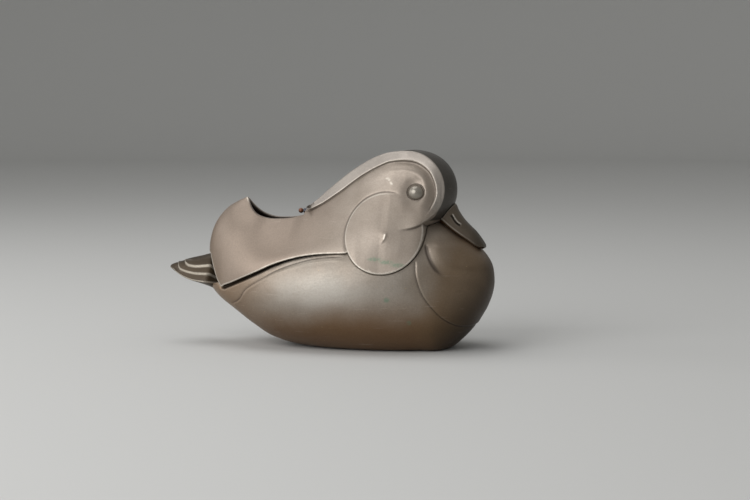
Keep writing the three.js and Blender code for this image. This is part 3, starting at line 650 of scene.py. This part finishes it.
def lid_outline(grown):
    """The lid's outline in side view, apart from the face, which the brow's circle bounds."""
    parts = [
        spline(WING_EDGE[1:]) + [0, -grown],
        arc(CHEEK_X, CHEEK_Z, CHEEK_R + grown, CHEEK_FROM, CHEEK_TO),
        [[HEAD_X + HEAD_R / 2 + grown, CHEEK_Z + HEAD_R / 3 - grown], [HEAD_X, HEAD_Z + HEAD_R + grown]],
        (spline(CREST_LINE) + [0, grown])[::-1],
        (spline(SADDLE_LINE) + [0, grown])[::-1],
        (spline(STERN_LINE) + [-3, 3])[::-1],
        (spline(ARCH_LINE) + [-grown, -grown])[::-1],
    ]
    return np.vstack(parts)


def polar(x, z, centre_x, centre_z):
    """How far places are from a centre in side view, and their angle around it, from -180 to 180 degrees."""
    dx, dz = x - centre_x, z - centre_z
    return np.hypot(dx, dz), np.degrees(np.arctan2(dz, dx))


def band_relief(out, along):
    """The crest's raised band, the groove at its foot, and the channel and brow ridge inside it."""
    ending = 1 - step(0.88, 1.0, along)
    band = step(-0.35, 0.35, out) * step(0.0, 0.05, along) * ending
    foot = hump(np.minimum(out + 0.3, 0), 1.6) * (1 - step(-0.3, 0.3, out)) * step(0.0, 0.12, along) * ending
    faced = step(0.3, 0.62, along) * (1 - step(0.86, 0.98, along))
    channel, brow = faced * hump(out + 1.8, 2.0), faced * hump(out + 5.6, 2.4)
    return BAND_RISE * band - BAND_FOOT_DEPTH * foot - CHANNEL_DEPTH * channel + BROW_RISE * brow


def disc_relief(x, z):
    """The cheek's low cone, which runs into the face at its upper front, and the crease at its middle."""
    radius, angle = polar(x, z, CHEEK_X, CHEEK_Z)
    angle = angle % 360
    joined = step(8, 20, angle) * (1 - step(68, 90, angle))
    disc = CHEEK_RIM + CHEEK_APEX * np.maximum(1 - radius / CHEEK_R, 0) ** 1.2
    edged = 1 - step(CHEEK_R - 0.5, CHEEK_R + 0.35, radius)
    spilled = hump(np.maximum(radius - CHEEK_R, 0), 6)
    relief = disc * ((1 - joined) * edged + joined * spilled)
    relief = relief - DISC_FOOT_DEPTH * (1 - joined) * hump(radius - CHEEK_R - 0.7, 0.5)
    crease, along, _side = to_line(x, z, spline(CREASE))
    return relief + CREASE_RISE * hump(crease, 0.7) * step(0, 0.2, along) * (1 - step(0.7, 1, along))


def mouth_relief(x, z):
    """The line where the head's circle crosses the cheek."""
    far, turn = polar(x, z, HEAD_X, HEAD_Z)
    past = far - HEAD_R
    opening = step(MOUTH_FROM, MOUTH_OPEN, turn) * (1 - step(MOUTH_TO - 6, MOUTH_TO + 4, turn))
    above = (1 - step(-0.5, 0.4, past)) * hump(np.minimum(past, 0), 7)
    below = step(-0.4, 0.5, past) * hump(np.maximum(past, 0), 4)
    return opening * (MOUTH_RISE * above - MOUTH_SETBACK * below - MOUTH_DEPTH * hump(past - 0.5, 0.7))


def lid_relief(x, z):
    """How far the lid's side stands out from its plain shape."""
    far, along, side = to_line(x, z, spline(RING_INNER))
    out = far * side
    eye_far, _turn = polar(x, z, EYE_X, EYE_Z)
    eye_hollow = hump(np.maximum(eye_far - 5, 0), 3.8) * (1 - step(-1.5, 0.5, out))
    return band_relief(out, along) + disc_relief(x, z) - EYE_HOLLOW_DEPTH * eye_hollow + mouth_relief(x, z)


def lid_rubbed_and_highlit(x, z):
    """Where the lid's skin is painted light, as wear and painted highlight: along its edges, the band, the
    disc and small scuffs.
    """
    edge = hump(within(x, z, lid_outline(0)) + 0.5, 0.5) * (1 - step(76, 80, z) * step(-52, -50, x))
    far, along, side = to_line(x, z, spline(RING_INNER))
    band = hump(far * side - 0.5, 0.45) * step(0.02, 0.06, along) * (1 - step(0.85, 0.97, along))
    radius, angle = polar(x, z, CHEEK_X, CHEEK_Z)
    disc = hump(radius - CHEEK_R + 0.5, 0.45) * step(78, 95, angle % 360)
    scuffs_and_glints = 0
    for light_streak in SCUFFS_AND_GLINTS:
        scuffs_and_glints = scuffs_and_glints + hump(to_line(x, z, spline(light_streak))[0], 0.5)
    return np.clip(0.8 * edge + 0.7 * band + 0.6 * disc + scuffs_and_glints, 0, 1)


def lid_fields(g):
    """The lid's outside with and without its relief, and its hollow by the depth that it is set in."""
    width = lid_width(g.x2, g.z2)
    inward = within(g.x2, g.z2, np.vstack([
        spline(STERN_LINE), [[40, 140], [140, 140], [140, -40], [-60, -40], [-77, 20]],
    ]))
    rounding = np.where(g.x2 < STERN_FROM, np.clip(1 + inward / STERN_ROUND, 0, 2.5), 0)
    side = g.distance(np.sqrt((g.y / g.flat(width)) ** 2 + g.flat(rounding ** STERN_POWER)) - 1)
    # Beyond the widest place nearby, the distance is at least the way straight out.
    nearby = 4
    widest = width
    reach = int(round(nearby / g.pitch))
    for axis in (0, 1):
        shifted = [np.roll(widest, k, axis) for k in range(-reach, reach + 1)]
        widest = np.maximum.reduce(shifted)
    side = np.maximum(side, np.minimum(g.y - g.flat(widest), nearby))
    share = np.clip(g.y / g.flat(np.maximum(width, 1)), 0, 1)
    middle = 1 - share * share
    brow = np.hypot(g.x - (HEAD_X + BROW_FORWARD * middle), g.z - (HEAD_Z - BROW_DOWN * middle))
    brow = brow - (HEAD_R + BROW_GROWN * middle)
    relief = g.flat(lid_relief(g.x2, g.z2))

    def outside(grown):
        outline = g.flat(within(g.x2, g.z2, lid_outline(grown)))
        return both(side - relief - grown, np.minimum(outline, brow - grown), LID_EDGE_ROUND)

    def hollow(inset):
        ring = np.vstack([
            spline(STERN_LINE) + [inset, -inset / 3],
            [[STERN_LINE[-1][0] + inset, HEAD_Z], [SADDLE_LINE[-1][0], HEAD_Z]],
            spline(CREST_LINE) + [inset / 2, -inset],
            arc(HEAD_X, HEAD_Z, HEAD_R - inset, HEAD_ROOF_FROM, HEAD_ROOF_TO),
            [[HOLLOW_FRONT, CHEEK_Z + HEAD_R / 3 + inset], [HOLLOW_FRONT, FLOOR_TOP]],
            [[STERN_LINE[0][0] + inset, FLOOR_TOP]],
        ])
        return both(side + inset, g.flat(within(g.x2, g.z2, ring)), HOLLOW_ROUND)

    return outside, hollow, side - relief


def lid_space(g):
    """The lid's metal with the gaps around it, which its neighbours leave free."""
    outside, hollow, _side = lid_fields(g)
    return np.maximum(outside(SEAT_GAP), -hollow(LID_WALL + SIDE_GAP))


# Bill and tail, and the pins and the tenon that hold them.

axis_angle = math.radians(BILL_TURN)
bill_axis = np.array([math.cos(axis_angle), -math.sin(axis_angle)])
bill_foot = np.array([HEAD_X + BROW_FORWARD, HEAD_Z - BROW_DOWN]) + bill_axis * (HEAD_R + BROW_GROWN)
PIN_BACK = LID_WALL + BROW_FORWARD + BROW_GROWN + PIN_RADIUS + PIN_FROM_WALL
TENON_HALF_WIDTH, TENON_HALF_HEIGHT, TENON_PAST_PIN = 5.0, 2.5, 3.0


def tenon(g, grown):
    """The bill's root, which reaches into the head."""
    px, pz = g.x2 - bill_foot[0], g.z2 - bill_foot[1]
    along = px * bill_axis[0] + pz * bill_axis[1]
    across = np.abs(pz * bill_axis[0] - px * bill_axis[1])
    length = np.maximum(along - HEAD_R / 4, -along - PIN_BACK - TENON_PAST_PIN)
    in_side_view = np.maximum(length, across - TENON_HALF_HEIGHT)
    return np.maximum(g.flat(in_side_view), g.y - TENON_HALF_WIDTH) - grown


def bill(g):
    """The bill and its marks."""
    ridge, edge = spline(BILL_RIDGE), spline(BILL_EDGE)
    to_ridge, along, _side = to_line(g.x2, g.z2, ridge)
    to_edge, _along, _side = to_line(g.x2, g.z2, edge)
    outline = within(g.x2, g.z2, np.vstack([ridge, edge[::-1]]))
    up = to_edge / np.maximum(to_edge + to_ridge, 1e-6)
    upper, lower = (up - BILL_WIDEST) / (1 - BILL_WIDEST), (BILL_WIDEST - up) / BILL_WIDEST
    fall = np.where(up > BILL_WIDEST, upper, lower)
    fall = np.where(outline < 0, fall, 1 + outline / 6)
    half = BILL_HALF * through(BILL_WIDTH)(along)
    shape = g.distance(np.sqrt((g.y / g.flat(half)) ** 2 + g.flat(fall ** 2)) - 1)
    n_far, n_along, n_side = to_line(g.x2, g.z2, spline(NOSTRIL))
    lip_far, lip_along, lip_side = to_line(g.x2, g.z2, spline(BILL_LIP))
    ends = step(0.0, 0.15, n_along) * (1 - step(0.85, 1.0, n_along))
    relief = (NOSTRIL_RISE * hump(n_far * n_side - 1.1, 0.7) - NOSTRIL_DEPTH * hump(n_far, 0.6)) * ends
    lip = LIP_RISE * hump(lip_far, 1.0) - LIP_DEPTH * hump(lip_far * lip_side + 1.9, 1.0)
    relief = relief + (1 - step(0.9, 1, lip_along)) * lip
    # Painted highlight along the ridge beside the nostril and along the lip line; painted shade in the
    # nostril's slit.
    worn_and_highlit = 0.95 * hump(n_far * n_side - 1.0, 0.45) * ends
    worn_and_highlit = worn_and_highlit + 0.4 * hump(lip_far, 0.7) * (1 - step(0.6, 0.9, lip_along))
    marks = {
        "rubbed_and_highlit": g.flat(np.clip(worn_and_highlit, 0, 1)), "shaded": g.flat(0.8 * hump(n_far, 0.6) * ends),
        "warm": g.flat(hump(lip_far * lip_side + 2.0, 1.3) * step(-7, -2, -up)),
    }
    return shape - g.flat(relief * (1 - step(-0.8, 0, outline))), marks


def tail(g):
    """The tail, a low roof in three terraces, and its marks."""
    x = g.x2[:, 0]
    half = (TAIL_HALF * through(TAIL_WIDTH)(x))[:, None]
    ridge, rim, under = [through(t)(x)[:, None] for t in (TAIL_RIDGE, TAIL_RIM, TAIL_UNDER)]
    share = g.y[0, :, 0][None, :] / half
    height = ridge - rim
    roof = ridge - height * through(TAIL_ROOF)(share)
    roof = roof - TAIL_STEP / 2 * step(0.2, 3, half)
    # Painted highlight, with wear, along the tail's rim and its terrace edges.
    worn_and_highlit = 0.8 * hump((1 - share) * half - 0.5, 0.6)
    for line in TAIL_LINES:
        edge = through(line)(x)[:, None]
        inward = (edge - share) * half
        worn_and_highlit = worn_and_highlit + hump(inward - 0.1, 0.45) * step(0, 0.1, edge)
        terrace = TAIL_STEP * step(-0.3, 0.3, inward) * np.exp(-np.maximum(inward, 0) / 3.5)
        roof = roof + terrace * step(0, 0.2, edge)
    roof = roof + TAIL_RIM_RISE * hump((1 - share) * half - 0.3, 0.8) * step(1, 4, half)
    keel = under + (rim - under) * np.clip((share - 0.5) / 0.5, 0, 1.4) ** 1.3
    above = g.distance(g.z - roof[:, :, None].astype(np.float32))
    beneath = g.distance(keel[:, :, None].astype(np.float32) - g.z)
    aside = g.distance((share * half - half)[:, :, None].astype(np.float32) + 0 * g.z)
    shape = both(above, beneath, EDGE_ROUND)
    shape = both(shape, aside, EDGE_ROUND)
    shape = both(shape, TAIL_TIP + 0.3 - g.x, EDGE_ROUND)
    marks = {"rubbed_and_highlit": np.clip(worn_and_highlit, 0, 1)[:, :, None] * step(-2, -0.5, g.z - roof[:, :, None])}
    return both(shape, g.x - TAIL_ROOT, EDGE_ROUND), marks


def tail_pin(g, grown):
    """The room for the tail's pin, whose head goes in from above."""
    far = np.hypot(g.x - TAIL_PIN_X, g.y)
    shank = np.maximum(far - PIN_RADIUS - grown, TAIL_PIN_LOW - grown - g.z)
    head = np.maximum(far - PIN_HEAD_RADIUS - grown, TAIL_PIN_SEAT - g.z)
    return np.minimum(shank, head)


def square_to_side(x, z):
    """The direction square to the lid's plain side at a place in side view, on the left."""
    def width(a, b):
        return float(lid_width(np.array([a]), np.array([b]))[0])
    slope_x = (width(x + 1, z) - width(x - 1, z)) / 2
    slope_z = (width(x, z + 1) - width(x, z - 1)) / 2
    outward = np.array([-slope_x, 1, -slope_z])
    return outward / np.linalg.norm(outward)


def middle_of(node):
    """The middle of a node's box, in millimetres."""
    low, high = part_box(node)
    return np.array((low + high) / 2) / MM


EYE_RADIUS, EYE_OUT, EYE_BACK, SNUG = 4.85, 0.9, np.array([-0.7, 0, 0]), 0.06
RING_INSIDE, RING_OUTSIDE, RING_THICKNESS, RING_OUT = 4.8, 5.45, 1.0, 1.1
eye_outward = square_to_side(EYE_X, EYE_Z)
eye_middle = middle_of("eye_left") + eye_outward * EYE_OUT + EYE_BACK
ring_foot = middle_of("eye_left") + eye_outward * RING_OUT + EYE_BACK


def lid_body(g):
    """The lid's casting with the seats of what it holds, and its marks."""
    outside, hollow, side = lid_fields(g)
    field = both(outside(0), -hollow(LID_WALL), EDGE_ROUND)
    field = np.maximum(field, -tenon(g, FIT_GAP))
    ball = np.sqrt((g.x - eye_middle[0]) ** 2 + (g.y - eye_middle[1]) ** 2 + (g.z - eye_middle[2]) ** 2)
    field = both(field, EYE_RADIUS + SNUG - ball, FIT_ROUND)
    offset = [g.x - ring_foot[0], g.y - ring_foot[1], g.z - ring_foot[2]]
    rise = sum(o * a for o, a in zip(offset, eye_outward))
    radial = np.sqrt(np.maximum(sum(o * o for o in offset) - rise ** 2, 0))
    seat = np.maximum(radial - RING_OUTSIDE - SNUG, -rise - SNUG)
    field = np.maximum(field, -seat)
    collar_low, collar_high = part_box("crest_collar")
    stem = np.hypot(g.y, g.z - middle_of("crest_collar")[2])
    cup_front = collar_low.x / MM + (COLLAR_LENGTH + FIT_GAP)
    cup = np.maximum(stem - (COLLAR_RADIUS + FIT_GAP), g.x - cup_front)
    shank = np.maximum(stem - (STEM_RADIUS + FIT_GAP), g.x - (collar_high.x / MM + FIT_GAP))
    socket = np.maximum(np.minimum(cup, shank), collar_low.x / MM - 5 - g.x)
    # Painted shade on the forehead and crown behind the ring, where the head turns away from the lamps.
    crown_shade = step(0.5, 1.3, -side) * g.flat(step(44, 50, g.x2) * step(-0.3, 0.3, g.z2 - 80))
    # Darker on the lid's inner walls.
    darker_inside = 1 - step(0.3, 2.2, hollow(LID_WALL))
    # Painted light on the crest's band, lighter where it faces up to the lamps.
    _far, along, band_side = to_line(g.x2, g.z2, spline(RING_INNER))
    band = np.where(band_side > 0, 1, 0) * step(0.0, 0.03, along) * (1 - step(0.88, 1.0, along))
    marks = {"crown_shade": crown_shade, "darker_inside": darker_inside, "band": g.flat(band), "rubbed_and_highlit": g.flat(lid_rubbed_and_highlit(g.x2, g.z2))}
    return np.maximum(field, -socket), marks


def oval(g, centre, half_length, half_width):
    """An upright oval around a centre on the middle plane."""
    share = np.sqrt(((g.x - centre) / half_length) ** 2 + (g.y / half_width) ** 2)
    return (share - 1) * half_width


rebate_height = through([(-61, 2.2), (-40, 2.0), (-20, 1.3), (0, 0.8), (20, 0.5)])


def rebate(x, z):
    """Where the bowl is set back below the lid's edge, most at the stern."""
    below = step(-0.3, 0.3, z - wing_edge(x) + rebate_height(x))
    return below * step(-66, -60, x) * (1 - step(-8, 12, x))


def fold_share(z):
    """How strongly the fold beside the breast shows at a height."""
    return step(43.5, 54, z) * (1 - step(64, 69, z))


def bowl_relief(x, z):
    """How far the hull's skin stands out: engraved feather lines, and the fold beside the breast."""
    far, along, side = to_line(x, z, spline(FLANK_LINE))
    open_ends = step(0.0, 0.05, along) * (1 - step(0.95, 1.0, along))
    relief = open_ends * (-FLANK_DEPTH * hump(far, 0.6) + FLANK_RISE * hump(far * side + 1.4, 1.0))
    far, along, side = to_line(x, z, spline(BREAST_LINE))
    open_ends = step(0.0, 0.05, along) * (1 - step(0.95, 1.0, along))
    out = far * side
    breast = step(-0.3, 0.5, out) * hump(np.maximum(out, 0), 9)
    relief = relief + open_ends * (BREAST_RISE * breast - BREAST_DEPTH * hump(far, 0.55))
    far, _along, side = to_line(x, z, spline(CRESCENT))
    out = far * side
    bulge = step(-0.4, 9, out) * hump(np.maximum(out - 9, 0), 12)
    dip = hump(out, np.where(out < 0, 5.0, 1.4))
    relief = relief + fold_share(z) * (FOLD_RISE * bulge - FOLD_DEPTH * dip)
    return relief - REBATE_DEPTH * rebate(x, z)


def bowl_marks(x, z):
    """Painted shade on the bowl's skin: in its engraved lines, the fold (with its dark patina), and the
    rebate below the lid.
    """
    lines = 0
    for line, width in ((FLANK_LINE, 0.45), (BREAST_LINE, 0.4)):
        far, along, _side = to_line(x, z, spline(line))
        lines = lines + hump(far, width) * step(0.0, 0.1, along) * (1 - step(0.92, 1.0, along))
    far, _along, side = to_line(x, z, spline(CRESCENT))
    fold = hump(far, np.where(side < 0, 1.0, 2.2)) * fold_share(z)
    return np.clip(0.6 * lines + fold + rebate(x, z), 0, 1)


def bowl_body(g):
    """The bowl's casting with the seats of the lid, tail, pin and plate, and its marks."""
    shell = hull(g)
    mouth_line = spline([MOUTH_BACK] + WING_EDGE + MOUTH_FRONT)
    far = 300
    ring = np.vstack([[[-far, -far], [far, -far], [far, far], [MOUTH_FRONT[-1][0], far]],
                      (mouth_line + [0, COLLAR_HEIGHT])[::-1], [[-far, MOUTH_BACK[1] + COLLAR_HEIGHT]]])
    mouth = g.flat(within(g.x2, g.z2, ring))
    field = both(shell - g.flat(bowl_relief(g.x2, g.z2)), mouth, EDGE_ROUND)
    field = both(field, -np.maximum(shell + BOWL_WALL, FLOOR_TOP - g.z), HOLLOW_ROUND)
    field = both(field, -g.z, FOOT_ROUND)
    field = both(field, -lid_space(g), SEAT_ROUND)
    tail_metal, _marks = tail(g)
    field = np.maximum(field, FIT_GAP - tail_metal)
    plate = oval(g, PLATE_X, PLATE_HALF_LENGTH + FIT_GAP, PLATE_HALF_WIDTH + FIT_GAP)
    plate = np.maximum(plate, g.z - (PLATE_TOP + FIT_GAP))
    core = oval(g, PLATE_X, PLATE_HALF_LENGTH - PLATE_LEDGE, PLATE_HALF_WIDTH - PLATE_LEDGE)
    core = np.maximum(core, g.z - (FLOOR_TOP + 2))
    field = np.maximum(field, -np.minimum(plate, core))
    return np.maximum(field, -tail_pin(g, FIT_GAP)), {"shaded": g.flat(bowl_marks(g.x2, g.z2))}


bowl_grid = Grid((-79, 0, -1), (106, 48, 91), 0.55)
bowl_form, bowl_shaded = bowl_body(bowl_grid)
bowl_piece = casting("bowl_casting", bowl_grid, bowl_form, MOST_FACES, bowl_shaded)
finish_piece(bowl_piece, "bowl", "body_vessel", bowl_bronze)

lid_grid = Grid((-80, 0, 35), (84, 50, 125), 0.5)
lid_form, lid_marks = lid_body(lid_grid)
lid_piece = casting("lid_casting", lid_grid, lid_form, MOST_FACES, lid_marks)
finish_piece(lid_piece, "lid", "lid_shell", lid_bronze)

tail_grid = Grid((-106, 0, 30), (-60, 20, 59), 0.35)
tail_form, tail_marks = tail(tail_grid)
tail_form = both(tail_form, -lid_space(tail_grid), FIT_ROUND)
tail_form = np.maximum(tail_form, -tail_pin(tail_grid, FIT_GAP))
tail_piece = casting("tail_casting", tail_grid, tail_form, MOST_FACES_SMALL, tail_marks)
finish_piece(tail_piece, "bowl", "tail_fan", tail_bronze)

bill_grid = Grid((58, 0, 58), (102, 12, 99), 0.3)
bill_form, bill_marks = bill(bill_grid)
bill_form = both(bill_form, -lid_space(bill_grid), FIT_ROUND)
bill_form = both(bill_form, SEAT_GAP - hull(bill_grid), FIT_ROUND)
bill_form = either(bill_form, tenon(bill_grid, 0), FIT_ROUND)
pin_place = bill_foot - bill_axis * PIN_BACK
pin_far = np.hypot(bill_grid.x - pin_place[0], bill_grid.z - pin_place[1])
bill_form = np.maximum(bill_form, PIN_RADIUS + FIT_GAP - pin_far)
bill_piece = casting("bill_casting", bill_grid, bill_form, MOST_FACES_SMALL, bill_marks)
finish_piece(bill_piece, "lid", "bill", bill_bronze)


# Small turned pieces.

def turned(name, profile, place, direction, around=64):
    """A turned form from a profile of (radius, height)."""
    profile = np.array(profile, float)
    side = Vector(direction).orthogonal().normalized()
    other = Vector(direction).normalized().cross(side)
    a = np.linspace(0, 2 * np.pi, around, endpoint=False)
    ring = np.outer(np.cos(a), side) + np.outer(np.sin(a), other)
    up = np.array(Vector(direction).normalized())
    vertices = np.concatenate([np.array(place) + r * ring + h * up for r, h in profile])
    faces = []
    for i in range(len(profile) - 1):
        for j in range(around):
            k = (j + 1) % around
            faces.append((i * around + j, i * around + k, (i + 1) * around + k, (i + 1) * around + j))
    return as_object(name, vertices, faces)


def ball_profile(radius, steps=24):
    a = np.linspace(-math.pi / 2, math.pi / 2, steps + 1)
    return [(max(radius * math.cos(t), 0.01), radius * math.sin(t)) for t in a]


for side_name, side_sign in (("right", -1), ("left", 1)):
    mirrored = np.array([1, side_sign, 1])
    outward = eye_outward * mirrored
    ball = turned(f"eyeball_{side_name}", ball_profile(EYE_RADIUS), eye_middle * mirrored, outward)
    finish_piece(ball, "lid", f"eye_{side_name}", eye_bronze)
    tube = []
    centre_r, half_r = (RING_INSIDE + RING_OUTSIDE) / 2, (RING_OUTSIDE - RING_INSIDE) / 2
    for t in np.linspace(0, 2 * math.pi, 25):
        tube.append((centre_r + half_r * math.cos(t), RING_THICKNESS / 2 * (1 + math.sin(t))))
    rim = turned(f"eye_rim_{side_name}", tube, ring_foot * mirrored, outward)
    finish_piece(rim, "lid", f"eye_ring_{side_name}", lid_bronze)

bead_ball = turned("bead", ball_profile(BEAD_RADIUS), middle_of("crest_bead"), (-1, 0, 0), 40)
finish_piece(bead_ball, "lid", "crest_bead", bead_copper)

for node, material in (
    ("base_plate", bowl_bronze), ("tail_pin", tail_bronze), ("bill_pin", bill_bronze),
    ("crest_collar", collar_iron), ("ash_liner", liner_copper),
):
    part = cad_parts[node]
    part.data.materials.clear()
    part.data.materials.append(material)


# Floor, light and camera.

def pale(name, colour):
    n = Nodes(name)
    n.shader.inputs["Base Color"].default_value = colour
    n.shader.inputs["Roughness"].default_value = 0.85
    return n.material


FLOOR_RADIUS, SWEEP_RADIUS, WALL_TOP = 3000.0, 700.0, 1100.0
FLOOR_COLOUR = (0.55, 0.55, 0.54, 1)
WORLD_COLOUR, WORLD_STRENGTH = (0.5, 0.5, 0.49, 1), 0.7
TARGET = Vector((29.2, 0, 59.8)) * MM
AZIMUTH, ELEVATION, CAMERA_FAR = math.radians(12), math.radians(5), 1.15
SENSOR, LENS = 36, 88.9

sweep = [(0.01, 0), (FLOOR_RADIUS / 2, 0), (FLOOR_RADIUS, 0)]
sweep += [(FLOOR_RADIUS + SWEEP_RADIUS * math.sin(t), SWEEP_RADIUS * (1 - math.cos(t)))
          for t in np.linspace(0, math.pi / 2, 17)[1:]]
sweep.append((FLOOR_RADIUS + SWEEP_RADIUS, WALL_TOP))
floor = turned("floor", sweep, (0, 0, 0), (0, 0, 1), 96)
floor.data.flip_normals()
floor.data.materials.append(pale("floor_paper", FLOOR_COLOUR))

world = bpy.data.worlds.new("studio")
bpy.context.scene.world = world
world.use_nodes = True
world.node_tree.nodes["Background"].inputs["Color"].default_value = WORLD_COLOUR
world.node_tree.nodes["Background"].inputs["Strength"].default_value = WORLD_STRENGTH


def softbox(name, direction, distance, size, power):
    """A round soft lamp that looks at the duck. Its distance and size are in metres, its power in watts."""
    data = bpy.data.lights.new(name, "AREA")
    data.shape = "DISK"
    data.size = size
    data.energy = power
    lamp = bpy.data.objects.new(name, data)
    bpy.context.scene.collection.objects.link(lamp)
    lamp.location = TARGET + Vector(direction).normalized() * distance
    lamp.rotation_euler = (TARGET - lamp.location).to_track_quat("-Z", "Y").to_euler()


softbox("key", (-0.5, -0.8, 0.42), 1.5, 1.4, 17)
softbox("left", (-1, -0.1, 0.35), 1.4, 1.1, 4)
softbox("top", (-0.3, 0.1, 1), 1.4, 1.1, 6)

away = Vector((math.sin(AZIMUTH) * math.cos(ELEVATION), -math.cos(AZIMUTH) * math.cos(ELEVATION),
               math.sin(ELEVATION)))
camera_data = bpy.data.cameras.new("camera")
camera_data.sensor_width = SENSOR
camera_data.lens = LENS
camera = bpy.data.objects.new("camera", camera_data)
bpy.context.scene.collection.objects.link(camera)
camera.location = TARGET + away * CAMERA_FAR
camera.rotation_euler = (-away).to_track_quat("-Z", "Y").to_euler()
bpy.context.scene.camera = camera
bpy.context.scene.view_settings.view_transform = "Standard"
